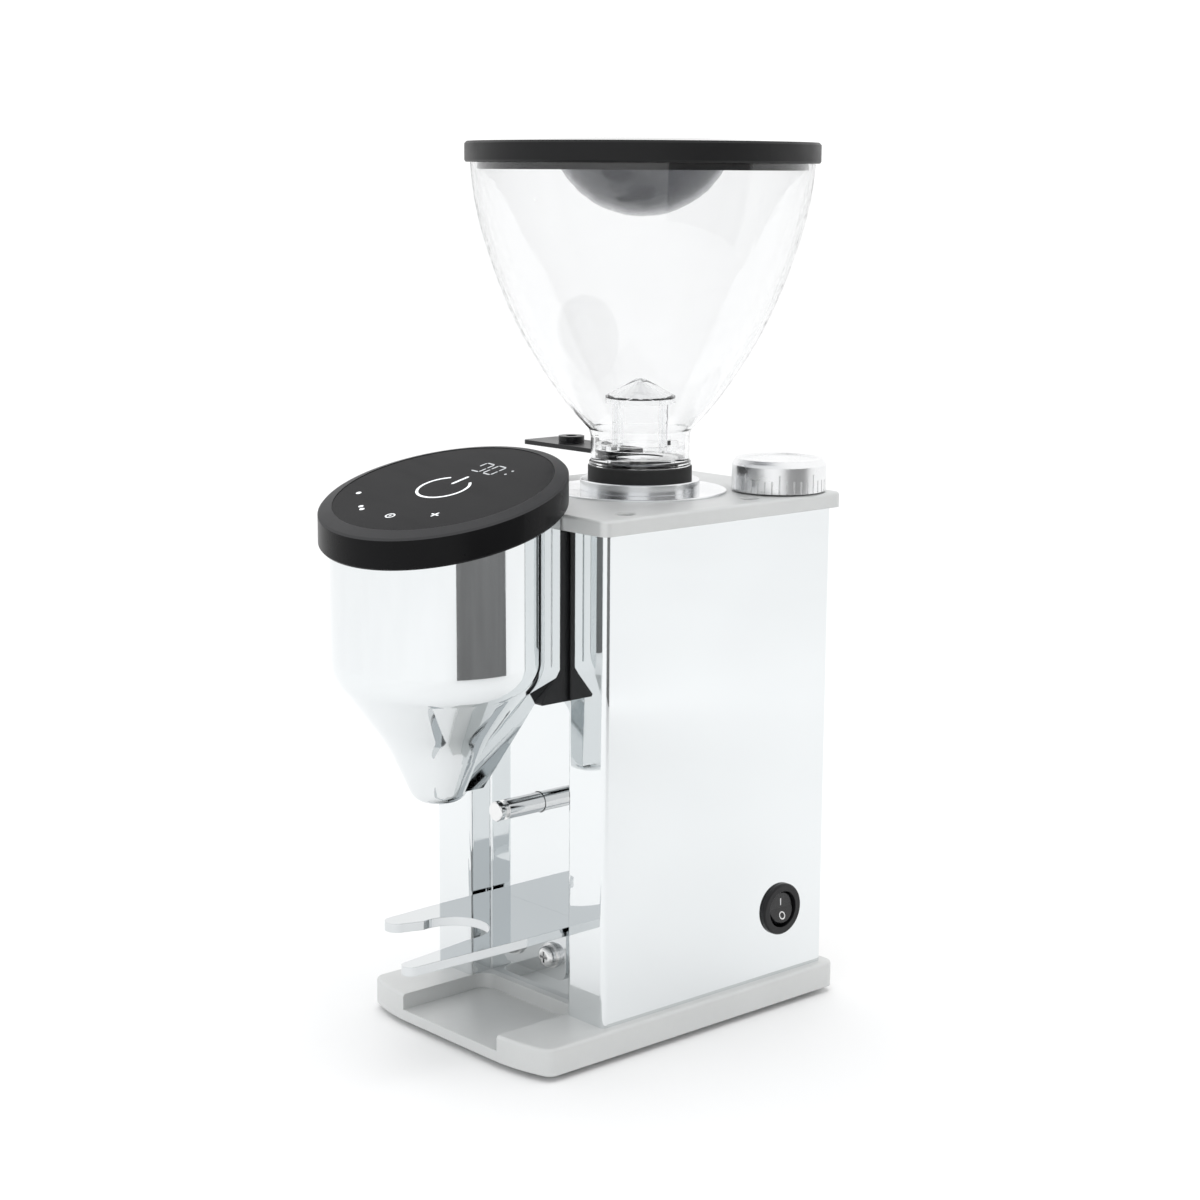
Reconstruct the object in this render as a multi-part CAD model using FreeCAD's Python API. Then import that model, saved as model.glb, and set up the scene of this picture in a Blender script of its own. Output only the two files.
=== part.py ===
"""Burr coffee grinder: a polished sheet case, a hopper above it and a touch display tilted over the chute.

Pieces are drawn in case coordinates, in millimetres: X to the right seen from the front, Y backwards from
the front face of the case, Z up from the surface that the feet stand on. save() moves every piece along Y so
that the origin lies under the middle of the whole grinder.
"""

import FreeCAD, Part
import math
import os

V = FreeCAD.Vector
X_AXIS, Y_AXIS, Z_AXIS = V(1, 0, 0), V(0, 1, 0), V(0, 0, 1)

# ---- driving dimensions ------------------------------------------------------------------------------------
FOOT_HEIGHT = 3.0
BASE_TOP = 15.0
CASE_TOP = 230.0
PLATE_TOP = 236.8
SHEET = 1.2
RUNNING = 0.05  # radial gap of a shaft in its hole
REACH = 150.0  # larger than any cross-section

CASE_HALF = 57.75
CASE_DEPTH = 137.4
BEND = 2.4  # outside radius of a bent sheet corner
RECESS_HALF = 33.7
RECESS_DEPTH = 12.8
WALL_INSIDE = RECESS_DEPTH + SHEET

BASE_HALF = 62.0
BASE_FRONT = -39.0
BASE_REAR = 142.6
BASE_CORNER = 5.0
BASE_BOW = 88.0  # radius of the bowed ends of the front edge
BASE_FLAT_HALF = 30.0
POCKET_HALF = 33.0
POCKET_FLOOR = 8.0
PLATE_HALF = 61.2
PLATE_OVERHANG = 3.5

HOPPER_Y = 72.3  # burrs, motor and hopper share this upright axis
LID_RADIUS = 78.5
LID_BOTTOM = 382.4
LID_TOP = 391.4

CHUTE_Y = -43.6
CHUTE_RADIUS = 45.5
NECK_HALF = 33.7
NECK_REAR = -4.2
WALL = 2.0

DISPLAY_Y = -40.0
DISPLAY_Z = 248.0  # middle of the display's top edge
DISPLAY_RADIUS = 52.7
GLASS_RADIUS = 46.6
DISPLAY_DEPTH = 14.4
DISPLAY_TILT = 14.0  # degrees, down towards the front
DISPLAY_LEAN = 3.6  # degrees, down towards the switch side

GEAR_MODULE = 1.5
RING_TEETH = 70
PINION_TEETH = 14
PRESSURE_ANGLE = math.radians(20)
KNOB_BEARING = 50.4  # degrees, direction of the knob from the hopper axis
KNOB_RADIUS = 21.3
GEAR_Z = 212.0
GEAR_FACE = 8.0

MOTOR_BOTTOM = 134.0
MOTOR_TOP = 184.0
MOTOR_RADIUS = 45.5
SHAFT_RADIUS = 6.0
BURR_RADIUS = 25.0
BURR_BORE = 15.5
BURR_HEIGHT = 7.6
LOWER_BURR_Z = 195.5
BURR_GAP = 0.4
CARRIER_RADIUS = 36.0

PIN_Z = 102.0
PIN_RADIUS = 4.5

ROCKER_Y = 108.8
ROCKER_Z = 46.3
ROCKER_REST = -9.0  # degrees, the lower half pressed in

FRONTMOST = DISPLAY_Y - DISPLAY_RADIUS
REARMOST = HOPPER_Y + LID_RADIUS
SHIFT = V(0, -(FRONTMOST + REARMOST) / 2, 0)


# ---- shape helpers -----------------------------------------------------------------------------------------
def save(name, *pieces):
    """Writes one sub-part; several pieces stay separate solids in it."""
    moved = [piece.translated(SHIFT) for piece in pieces]
    shape = moved[0] if len(moved) == 1 else Part.makeCompound(moved)
    if not shape.isValid():
        print("invalid shape:", name)
    shape.exportStep("parts/" + name + ".step")


def box(x0, x1, y0, y1, z0, z1):
    return Part.makeBox(x1 - x0, y1 - y0, z1 - z0, V(x0, y0, z0))


def rounded_box(x0, x1, y0, y1, z0, z1, radius):
    """A box with its upright edges rounded."""
    block = box(x0, x1, y0, y1, z0, z1)
    upright = [edge for edge in block.Edges if abs(edge.tangentAt(edge.FirstParameter).z) > 0.9]
    return block.makeFillet(radius, upright)


def post(radius, z0, z1, x=0.0, y=0.0):
    return Part.makeCylinder(radius, z1 - z0, V(x, y, z0), Z_AXIS)


def rod_y(radius, y0, y1, x, z):
    return Part.makeCylinder(radius, y1 - y0, V(x, y0, z), Y_AXIS)


def rod_x(radius, x0, x1, y, z):
    return Part.makeCylinder(radius, x1 - x0, V(x0, y, z), X_AXIS)


def tube(outer, inner, z0, z1, x=0.0, y=0.0):
    return post(outer, z0, z1, x, y).cut(post(inner, z0 - 1, z1 + 1, x, y))


def prism(points, z0, z1):
    """An upright prism over a plan outline of (x, y) points."""
    face = Part.Face(Part.makePolygon([V(x, y, z0) for x, y in points + points[:1]]))
    return face.extrude(V(0, 0, z1 - z0))


def side_prism(points, x0, x1):
    """A prism along X over a side outline of (y, z) points."""
    face = Part.Face(Part.makePolygon([V(x0, y, z) for y, z in points + points[:1]]))
    return face.extrude(V(x1 - x0, 0, 0))


def front_prism(points, y0, y1):
    """A prism along Y over a front outline of (x, z) points."""
    face = Part.Face(Part.makePolygon([V(x, y0, z) for x, z in points + points[:1]]))
    return face.extrude(V(0, y1 - y0, 0))


def wire_of(curves):
    return Part.Wire([curve.toShape() for curve in curves])


def line(a, b):
    return Part.LineSegment(V(*a), V(*b))


def arc(a, b, c):
    return Part.Arc(V(*a), V(*b), V(*c))


def turned(profile, x=0.0, y=0.0):
    """A solid of revolution about the upright axis through (x, y), from a closed list of (radius, z)."""
    face = Part.Face(Part.makePolygon([V(r, 0, z) for r, z in profile + profile[:1]]))
    return face.revolve(V(0, 0, 0), Z_AXIS, 360).translated(V(x, y, 0))


def joined(first, *rest):
    return first.fuse(list(rest)).removeSplitter()


def without(block, *holes):
    return block.cut(list(holes))


def ring_of(count, radius, start=0.0, x=0.0, y=0.0):
    """(x, y, angle in degrees) of points spaced evenly on a circle."""
    steps = [start + 360.0 * k / count for k in range(count)]
    places = [(polar(radius, a), a) for a in steps]
    return [(x + dx, y + dy, a) for (dx, dy), a in places]


def turn_z(shape, degrees, x=0.0, y=0.0):
    return shape.rotated(V(x, y, 0), Z_AXIS, degrees)


def hexagon(across_flats, z0, z1, x=0.0, y=0.0):
    corner = across_flats / math.sqrt(3)
    return prism([(px, py) for px, py, _ in ring_of(6, corner, 0, x, y)], z0, z1)


def top_edges(shape, z, tolerance=0.01):
    return [e for e in shape.Edges if max(abs(e.BoundBox.ZMin - z), abs(e.BoundBox.ZMax - z)) < tolerance]


def tilted(shape):
    """Slopes a shape drawn level about z=0, as the display slopes, keeping its walls upright."""
    slope = FreeCAD.Matrix()
    slope.A31 = -math.tan(math.radians(DISPLAY_LEAN))
    slope.A32 = math.tan(math.radians(DISPLAY_TILT))
    return shape.transformGeometry(slope).translated(V(0, DISPLAY_Y, DISPLAY_Z))


def sloped_slab(low, high):
    """All between two planes parallel to the display, at these heights over the middle of its top edge."""
    normal = V(math.tan(math.radians(DISPLAY_LEAN)), -math.tan(math.radians(DISPLAY_TILT)), 1).normalize()
    slab = box(-REACH, REACH, -REACH, REACH, low * normal.z, high * normal.z)
    slab.Placement = FreeCAD.Placement(V(0, DISPLAY_Y, DISPLAY_Z), FreeCAD.Rotation(Z_AXIS, normal))
    return slab


def involute(angle):
    return math.tan(angle) - angle


def gear(teeth, z0, z1, bore, phase, x, y, backlash=0.12):
    """A spur gear with short involute teeth; phase turns the middle of one tooth, in degrees."""
    pitch = GEAR_MODULE * teeth / 2
    base = pitch * math.cos(PRESSURE_ANGLE)
    tip = pitch + 0.8 * GEAR_MODULE
    root = pitch - 1.1 * GEAR_MODULE
    flank_start = max(base, root)
    flank = [flank_start + (tip - flank_start) * k / 4 for k in range(5)]

    def half_angle(radius):
        rise = involute(PRESSURE_ANGLE) - involute(math.acos(min(1.0, base / radius)))
        return math.pi / (2 * teeth) + rise - backlash / radius

    points = []
    for tooth in range(teeth):
        middle = math.radians(phase) + 2 * math.pi * tooth / teeth
        rising = [(root, -half_angle(flank_start))] + [(r, -half_angle(r)) for r in flank]
        falling = [(r, half_angle(r)) for r in reversed(flank)] + [(root, half_angle(flank_start))]
        outline = rising + falling if root < flank_start else rising[1:] + falling[:-1]
        points += [(x + r * math.cos(middle + a), y + r * math.sin(middle + a)) for r, a in outline]
    return without(prism(points, z0, z1), post(bore, z0 - 1, z1 + 1, x, y))


def polar(radius, degrees, x=0.0, y=0.0):
    return x + radius * math.cos(math.radians(degrees)), y + radius * math.sin(math.radians(degrees))


GEAR_CENTRES = GEAR_MODULE * (RING_TEETH + PINION_TEETH) / 2
KNOB_X, KNOB_Y = polar(GEAR_CENTRES, KNOB_BEARING, 0, HOPPER_Y)
FOOT_PLACES = [(-48, -20), (48, -20), (-48, 128), (48, 128)]
CASE_SCREWS = [(-49, 25), (49, 25), (-49, 110), (49, 110)]
PLATE_SCREWS = [(-50, 18), (50, 18), (-50, 92), (50, 92)]
COVER_SCREWS = [(x, z) for x in (-51.0, 51.0) for z in (32.0, 123.0, 214.0)]
POST_PLACES = [polar(62, a, 0, HOPPER_Y) for a in (141, 219, 321)]
FORK_SCREWS = (-12.5, 12.5)
CHUTE_SCREWS = [(x, z) for x in (-24.0, 24.0) for z in (178.0, 216.0)]
INLET_X, INLET_Z = -20.0, 48.0
INLET_SCREWS = [(INLET_X - 20, INLET_Z), (INLET_X + 20, INLET_Z)]
CABLE_X = -26.0
DUCT = (-14.0, 14.0, 184.4, 206.4)  # x and z limits of the grounds duct


# ---- base --------------------------------------------------------------------------------------------------
def base_outline(z):
    """The plate's plan: straight sides, small corners and a front edge that bows back towards its ends."""
    h, r, bow, flat = BASE_HALF, BASE_CORNER, BASE_BOW, BASE_FLAT_HALF
    inset = r * (1 - math.sqrt(0.5))
    swing = math.asin((h - flat - r) / (bow - r))
    corner_y = BASE_FRONT + bow - (bow - r) * math.cos(swing)
    half_swing = swing / 2
    half_turn = (swing + math.pi / 2) / 2

    def on_bow(side, angle):
        return side * (flat + bow * math.sin(angle)), BASE_FRONT + bow * (1 - math.cos(angle)), z

    def on_corner(side, angle):
        return side * (h - r + r * math.sin(angle)), corner_y - r * math.cos(angle), z

    curves = [line((-flat, BASE_FRONT, z), (flat, BASE_FRONT, z))]
    curves.append(arc((flat, BASE_FRONT, z), on_bow(1, half_swing), on_bow(1, swing)))
    curves.append(arc(on_bow(1, swing), on_corner(1, half_turn), (h, corner_y, z)))
    curves.append(line((h, corner_y, z), (h, BASE_REAR - r, z)))
    curves.append(arc((h, BASE_REAR - r, z), (h - inset, BASE_REAR - inset, z), (h - r, BASE_REAR, z)))
    curves.append(line((h - r, BASE_REAR, z), (-h + r, BASE_REAR, z)))
    curves.append(arc((-h + r, BASE_REAR, z), (-h + inset, BASE_REAR - inset, z), (-h, BASE_REAR - r, z)))
    curves.append(line((-h, BASE_REAR - r, z), (-h, corner_y, z)))
    curves.append(arc((-h, corner_y, z), on_corner(-1, half_turn), on_bow(-1, swing)))
    curves.append(arc(on_bow(-1, swing), on_bow(-1, half_swing), (-flat, BASE_FRONT, z)))
    return wire_of(curves)


def make_base():
    plate = Part.Face(base_outline(FOOT_HEIGHT)).extrude(V(0, 0, BASE_TOP - FOOT_HEIGHT))
    plate = plate.makeFillet(1.6, top_edges(plate, BASE_TOP))
    pocket = rounded_box(-POCKET_HALF, POCKET_HALF, BASE_FRONT - 20, 9.0, POCKET_FLOOR, BASE_TOP + 5, 7.0)
    mouth = box(-POCKET_HALF, POCKET_HALF, BASE_FRONT - 20, BASE_FRONT + 10, POCKET_FLOOR, BASE_TOP + 5)
    pocket = pocket.fuse(mouth)
    holes = [post(9.1, 0, FOOT_HEIGHT + 2, x, y) for x, y in FOOT_PLACES]
    holes += [post(2.0, 0, 12.2, x, y) for x, y in FOOT_PLACES]
    holes += [post(2.2, 0, BASE_TOP + 1, x, y) for x, y in CASE_SCREWS]
    holes += [post(4.4, 0, 6.4, x, y) for x, y in CASE_SCREWS]
    holes += [rounded_box(-18, 18, y - 1.6, y + 1.6, 0, BASE_TOP + 1, 1.5) for y in range(48, 104, 9)]
    holes += [post(3.1, 0, BASE_TOP + 1, 25, 56)]
    return without(plate, pocket, *holes)


def make_feet():
    feet = []
    for x, y in FOOT_PLACES:
        foot = post(9.0, 0, FOOT_HEIGHT + 2, x, y)
        foot = foot.makeChamfer(0.8, top_edges(foot, 0))
        feet.append(without(foot, post(2.1, -1, 9, x, y), post(4.6, -1, 2.8, x, y)))
    return feet


def underside_screw(x, y, head_z, tip_z):
    """A pan-head screw driven from below, with a hexagon socket."""
    head = post(4.0, head_z, head_z + 2.2, x, y)
    screw = joined(head, post(1.95, head_z + 2.2, tip_z, x, y))
    return without(screw, hexagon(2.5, head_z - 1, head_z + 1.4, x, y))


def make_base_screws():
    screws = [underside_screw(x, y, 0.6, 12.0) for x, y in FOOT_PLACES]
    for x, y in CASE_SCREWS:
        screws.append(underside_screw(x, y, 4.2, 20.6))
        nut = hexagon(7.0, BASE_TOP + SHEET, BASE_TOP + SHEET + 3.2, x, y)
        screws.append(without(nut, post(1.95, BASE_TOP, BASE_TOP + 9, x, y)))
    return screws


# ---- case --------------------------------------------------------------------------------------------------
def case_block(inset, bend, corner, z0, z1):
    """The filled case outline moved inwards by inset; bend rounds its outer corners, corner the recess."""
    half, depth = CASE_HALF - inset, CASE_DEPTH - inset
    recess_half, recess_depth = RECESS_HALF + inset, RECESS_DEPTH + inset
    block = box(-half, half, inset, depth, z0, z1)
    block = block.cut(box(-recess_half, recess_half, -10, recess_depth, z0 - 1, z1 + 1))
    upright = [e for e in block.Edges if abs(e.tangentAt(e.FirstParameter).z) > 0.9]
    recess = [e for e in upright if abs(e.BoundBox.Center.y - recess_depth) < 0.01]
    outside = [e for e in upright if abs(e.BoundBox.Center.y - recess_depth) >= 0.01]
    block = block.makeFillet(bend, outside)
    tall = [e for e in block.Edges if e.BoundBox.ZLength > 50]
    sharp = [e for e in tall if abs(e.BoundBox.Center.y - recess_depth) < 0.01]
    return block.makeFillet(corner, sharp) if len(sharp) == len(recess) else block


def make_case():
    wrap = case_block(0, BEND, BEND - SHEET, BASE_TOP, CASE_TOP)
    wrap = wrap.cut(case_block(SHEET, BEND - SHEET, BEND, BASE_TOP - 1, CASE_TOP + 1))
    inner = CASE_HALF - SHEET
    tabs = []
    for x, y in CASE_SCREWS:
        side = math.copysign(1, x)
        low, high = sorted((side * (inner - 15), side * (inner + 0.6)))
        tabs.append(box(low, high, y - 8, y + 8, BASE_TOP, BASE_TOP + SHEET))
    for x, y in PLATE_SCREWS:
        side = math.copysign(1, x)
        low, high = sorted((side * (inner - 12), side * (inner + 0.6)))
        tabs.append(box(low, high, y - 7, y + 7, CASE_TOP - SHEET, CASE_TOP))
    wrap = joined(wrap, *tabs)
    holes = [box(-46, 46, CASE_DEPTH - 3, CASE_DEPTH + 3, BASE_TOP - 1, CASE_TOP + 1)]
    holes += [post(2.2, BASE_TOP - 2, BASE_TOP + 3, x, y) for x, y in CASE_SCREWS]
    holes += [post(2.0, CASE_TOP - 3, CASE_TOP + 3, x, y) for x, y in PLATE_SCREWS]
    holes += [rod_y(1.5, CASE_DEPTH - 3, CASE_DEPTH + 3, x, z) for x, z in COVER_SCREWS]
    holes += [rod_x(10.2, CASE_HALF - 4, CASE_HALF + 4, ROCKER_Y, ROCKER_Z)]
    holes += [rod_y(PIN_RADIUS + 0.3, RECESS_DEPTH - 2, WALL_INSIDE + 2, 0, PIN_Z)]
    holes += [rod_y(2.3, RECESS_DEPTH - 2, WALL_INSIDE + 2, x, FORK_SCREW_Z) for x in FORK_SCREWS]
    holes += [rod_y(2.2, RECESS_DEPTH - 2, WALL_INSIDE + 2, x, z) for x, z in CHUTE_SCREWS]
    x0, x1, z0, z1 = DUCT
    holes += [box(x0 - 0.1, x1 + 0.1, RECESS_DEPTH - 2, WALL_INSIDE + 2, z0 - 0.1, z1 + 0.1)]
    holes += [cable_slot(RECESS_DEPTH - 2, WALL_INSIDE + 2)]
    return without(wrap, *holes)


def cable_slot(y0, y1):
    return box(CABLE_X - 5.6, CABLE_X + 5.6, y0, y1, CABLE_Z - 1.0, CABLE_Z + 1.0)


def make_rear_cover():
    cover = rounded_box(-55, 55, CASE_DEPTH, CASE_DEPTH + SHEET, BASE_TOP + 1.5, CASE_TOP - 1.5, 0.5)
    holes = [rod_y(1.7, CASE_DEPTH - 1, CASE_DEPTH + 5, x, z) for x, z in COVER_SCREWS + INLET_SCREWS]
    x, z = INLET_X, INLET_Z
    holes.append(box(x - 13.8, x + 13.8, CASE_DEPTH - 1, CASE_DEPTH + 5, z - 10.1, z + 10.1))
    for row in range(7):
        z = 168 + row * 7
        for side in (-1, 1):
            slot = box(side * 22 - 15, side * 22 + 15, CASE_DEPTH - 1, CASE_DEPTH + 5, z - 1.4, z + 1.4)
            ends = [e for e in slot.Edges if abs(e.tangentAt(e.FirstParameter).y) > 0.9]
            holes.append(slot.makeFillet(1.3, ends))
    return without(cover, *holes)


def small_screw_y(x, z, y, tip):
    """A pan-head screw along Y whose head lies on the face at y and points backwards."""
    head = rod_y(2.9, y, y + 1.9, x, z)
    rim = [e for e in head.Edges if e.Closed and abs(e.BoundBox.Center.y - (y + 1.9)) < 0.01]
    head = head.makeFillet(0.8, rim)
    slots = [box(x - 1.7, x + 1.7, y + 1.0, y + 3, z - 0.35, z + 0.35)]
    slots.append(box(x - 0.35, x + 0.35, y + 1.0, y + 3, z - 1.7, z + 1.7))
    return without(joined(head, rod_y(1.45, tip, y, x, z)), *slots)


def make_cover_screws():
    face = CASE_DEPTH + SHEET
    screws = [small_screw_y(x, z, face, CASE_DEPTH - 7) for x, z in COVER_SCREWS]
    return screws + [small_screw_y(x, z, face + 2.6, CASE_DEPTH - 5) for x, z in INLET_SCREWS]


def make_top_plate():
    rear = CASE_DEPTH + PLATE_OVERHANG
    plate = rounded_box(-PLATE_HALF, PLATE_HALF, -PLATE_OVERHANG, rear, CASE_TOP, PLATE_TOP, 4.0)
    plate = plate.makeFillet(1.4, top_edges(plate, PLATE_TOP))
    holes = [post(37.6, CASE_TOP - 1, PLATE_TOP + 1, 0, HOPPER_Y)]
    holes += [post(7.0, CASE_TOP - 1, PLATE_TOP + 1, KNOB_X, KNOB_Y)]
    for x, y in PLATE_SCREWS:
        holes.append(post(2.2, CASE_TOP - 1, PLATE_TOP + 1, x, y))
        holes.append(turned([(0, PLATE_TOP - 2.8), (2.2, PLATE_TOP - 2.8), (4.5, PLATE_TOP - 0.4),
                             (4.5, PLATE_TOP + 1), (0, PLATE_TOP + 1)], x, y))
    holes += [post(2.0, CASE_TOP - 1, CASE_TOP + 4, x, y) for x, y in POST_PLACES]
    return without(plate, *holes)


def make_plate_screws():
    screws = []
    for x, y in PLATE_SCREWS:
        low, high = PLATE_TOP - 2.6, PLATE_TOP - 0.5
        head = turned([(0, low), (1.95, low), (4.2, high), (0, high)], x, y)
        screw = joined(head, post(1.95, CASE_TOP - 6, PLATE_TOP - 2.5, x, y))
        screws.append(without(screw, hexagon(2.5, PLATE_TOP - 1.9, PLATE_TOP + 1, x, y)))
        nut = hexagon(7.0, CASE_TOP - SHEET - 3.2, CASE_TOP - SHEET, x, y)
        screws.append(without(nut, post(1.95, CASE_TOP - 9, CASE_TOP, x, y)))
    return screws


# ---- grinding group ----------------------------------------------------------------------------------------
def make_chamber():
    y = HOPPER_Y
    floor, roof, bore = MOTOR_TOP, GEAR_Z - 1.0, CARRIER_RADIUS + RUNNING
    body = turned([(9, floor), (46, floor), (46, roof), (bore, roof), (bore, roof - 4), (40, roof - 6.5),
                   (40, floor + 6), (9, floor + 6)], 0, y)
    ears = []
    for x, ey in POST_PLACES:
        bearing = math.degrees(math.atan2(ey - y, x))
        arm = turn_z(box(42, 62, y - 6, y + 6, roof - 7, roof - 1), bearing, 0, y)
        ears += [arm, post(6, roof - 7, roof - 1, x, ey)]
    body = body.fuse(ears)
    body = body.cut(post(40, floor + 6, roof - 6.5, 0, y))
    shoulder, mouth = roof - 6.5, roof + 1
    recess = [(0, shoulder), (40, shoulder), (bore, roof - 4), (bore, mouth), (0, mouth)]
    body = body.cut(turned(recess, 0, y))
    x0, x1, z0, z1 = DUCT
    flat = box(-20, 20, y - 60, y - 45.2, floor - 1, roof + 1)
    window = box(x0 + WALL, x1 - WALL, y - 60, y - 30, z0 + WALL + 5, z1 - WALL - 3)
    screws = ring_of(4, 32, 45, 0, y)
    holes = [post(2.1, floor - 1, floor + 9, hx, hy) for hx, hy, _ in screws]
    holes += [post(3.6, floor + 3.2, floor + 9, hx, hy) for hx, hy, _ in screws]
    holes += [post(2.1, roof - 9, roof + 1, x, ey) for x, ey in POST_PLACES]
    return without(body, flat, window, *holes).removeSplitter()


def make_posts():
    """Hexagonal stand-offs that hang the chamber from the top plate, each with studs at both ends."""
    posts = []
    for x, y in POST_PLACES:
        body = hexagon(8.0, GEAR_Z - 2.0, CASE_TOP, x, y)
        lower_stud = post(1.95, GEAR_Z - 12, GEAR_Z - 1, x, y)
        upper_stud = post(1.95, CASE_TOP - 1, CASE_TOP + 4, x, y)
        posts.append(joined(body, lower_stud, upper_stud))
    return posts


def make_adjusting_ring():
    gap_phase = KNOB_BEARING + 180.0 / RING_TEETH
    top = GEAR_Z + GEAR_FACE
    wheel = gear(RING_TEETH, GEAR_Z, top, CARRIER_RADIUS, gap_phase, 0, HOPPER_Y)
    return joined(wheel, tube(44, CARRIER_RADIUS, top - 1, top + 1.2, 0, HOPPER_Y))


def make_upper_carrier():
    """The bean funnel that holds the upper burr; its skirt turns in the chamber's bore."""
    y, r = HOPPER_Y, CARRIER_RADIUS
    seat = LOWER_BURR_Z + 2 * BURR_HEIGHT + BURR_GAP
    body = turned([(BURR_BORE, seat), (31, seat), (31, seat - 3.6), (r, seat - 3.6), (r, seat + 15),
                   (31, seat + 15), (17.2, seat + 3), (BURR_BORE, seat + 1.5)], 0, y)
    screws = [post(1.6, seat - 1, seat + 5, x, sy) for x, sy, _ in ring_of(3, 20.5, 30, 0, y)]
    return without(body, *screws)


def burr(z0, facing):
    """A flat burr with slanted cutting grooves; facing is 1 when its teeth look up."""
    y = HOPPER_Y
    z1 = z0 + BURR_HEIGHT
    blank = turned([(BURR_BORE, z0), (BURR_RADIUS, z0), (BURR_RADIUS, z1), (BURR_BORE, z1)], 0, y)
    face = z1 if facing > 0 else z0
    inner, outer = BURR_BORE - 3, BURR_RADIUS + 2
    groove = prism([(inner, -0.4), (outer, -1.4), (outer, 0.6), (inner, 1.4)], face - 1.6, face + 1.6)
    groove = groove.translated(V(0, y, 0))
    grooves = [turn_z(groove, 15.0 * k, 0, y) for k in range(24)]
    back = z0 if facing > 0 else z1
    countersink = 2.4 * facing
    holes = []
    for x, sy, _ in ring_of(3, 20.5, 30, 0, y):
        holes.append(post(1.7, z0 - 1, z1 + 1, x, sy))
        low, high = sorted((face + facing, face - 1.6 * facing - countersink))
        holes.append(post(3.1, low, high, x, sy))
    return without(blank, *grooves, *holes)


def burr_screws(z0, facing):
    back = z0 if facing > 0 else z0 + BURR_HEIGHT
    screws = []
    for x, y, _ in ring_of(3, 20.5, 30, 0, HOPPER_Y):
        seat = back + facing * (BURR_HEIGHT - 4.0)
        low, high = sorted((seat, seat + facing * 1.8))
        tail_low, tail_high = sorted((back - facing * 3.5, seat))
        screws.append(joined(post(2.9, low, high, x, y), post(1.5, tail_low, tail_high, x, y)))
    return screws


def make_lower_carrier():
    y = HOPPER_Y
    top = LOWER_BURR_Z
    body = turned([(SHAFT_RADIUS, top - 4), (38.5, top - 4), (38.5, top - 2), (26.5, top - 2), (26.5, top),
                   (SHAFT_RADIUS, top)], 0, y)
    vanes = [turn_z(box(27, 38.5, y - 1.5, y + 1.5, top - 3, top + 6), 60 * k, 0, y) for k in range(6)]
    body = joined(body, *vanes)
    holes = [post(1.5, top - 5, top + 1, x, sy) for x, sy, _ in ring_of(3, 20.5, 30, 0, y)]
    return without(body, *holes)


def make_burr_nut():
    nut = hexagon(17.0, LOWER_BURR_Z, LOWER_BURR_Z + 6, 0, HOPPER_Y)
    return without(nut, post(4.0, LOWER_BURR_Z - 1, LOWER_BURR_Z + 9, 0, HOPPER_Y))


def make_shaft():
    y = HOPPER_Y
    stud = post(4.0, LOWER_BURR_Z, LOWER_BURR_Z + 8, 0, y)
    return joined(post(SHAFT_RADIUS, FAN_Z - 2, LOWER_BURR_Z, 0, y), stud)


def make_rotor():
    y = HOPPER_Y
    core = tube(23.4, SHAFT_RADIUS, 146, 170, 0, y)
    slots = [post(1.2, 145, 171, x, sy) for x, sy, _ in ring_of(22, 21.4, 0, 0, y)]
    return without(core, *slots)


def make_stator():
    y = HOPPER_Y
    core = tube(43.0, 24.0, 146, 170, 0, y)
    slots = [turn_z(box(24.0 - 2, 37, y - 1.3, y + 1.3, 145, 171), a, 0, y) for a in range(0, 360, 15)]
    return without(core, *slots)


def make_windings():
    """The two bundles of end turns, above and below the laminations."""
    y = HOPPER_Y
    bundle = tube(40.5, 27.0, 170, 177, 0, y)
    bundle = bundle.makeFillet(2.4, top_edges(bundle, 177))
    lower = tube(40.5, 27.0, 139, 146, 0, y)
    lower = lower.makeFillet(2.4, top_edges(lower, 139))
    return bundle, lower


def make_motor_housing():
    y = HOPPER_Y
    shell = turned([(13, MOTOR_TOP), (MOTOR_RADIUS, MOTOR_TOP), (MOTOR_RADIUS, 139), (43, 139), (43, 179),
                    (15.6, 179), (15.6, 172), (13, 172)], 0, y)
    holes = [post(1.9, 178, MOTOR_TOP + 1, x, sy) for x, sy, _ in ring_of(4, 32, 45, 0, y)]
    return without(shell, *holes)


def make_end_cap():
    y = HOPPER_Y
    cap = turned([(13, MOTOR_BOTTOM), (MOTOR_RADIUS, MOTOR_BOTTOM), (MOTOR_RADIUS, 139), (43, 139),
                  (43, 136.4), (15.6, 136.4), (15.6, 144), (13, 144)], 0, y)
    slot = rounded_box(21, 38, y - 3, y + 3, MOTOR_BOTTOM - 1, 138, 2.5)
    return without(cap, *[turn_z(slot, a, 0, y) for a in range(0, 360, 45)])


def make_bearings():
    y = HOPPER_Y
    return [tube(13.0, SHAFT_RADIUS + 0.02, z, z + 9, 0, y) for z in (173, 135)]


def make_motor_screws():
    screws = []
    for x, y, _ in ring_of(4, 32, 45, 0, HOPPER_Y):
        shank = post(1.85, 179.3, MOTOR_TOP + 3.2, x, y)
        screw = joined(post(3.4, MOTOR_TOP + 3.2, MOTOR_TOP + 5.9, x, y), shank)
        screws.append(without(screw, hexagon(2.5, MOTOR_TOP + 4.4, MOTOR_TOP + 7, x, y)))
    return screws


def make_fan():
    y = HOPPER_Y
    hub = tube(10, SHAFT_RADIUS, FAN_Z, FAN_Z + 9, 0, y)
    plate = tube(31, SHAFT_RADIUS, FAN_Z + 7.4, FAN_Z + 9, 0, y)
    blades = [turn_z(box(8, 31, y - 0.8, y + 0.8, FAN_Z, FAN_Z + 8), 40 * k, 0, y) for k in range(9)]
    return joined(hub, plate, *blades)


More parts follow.
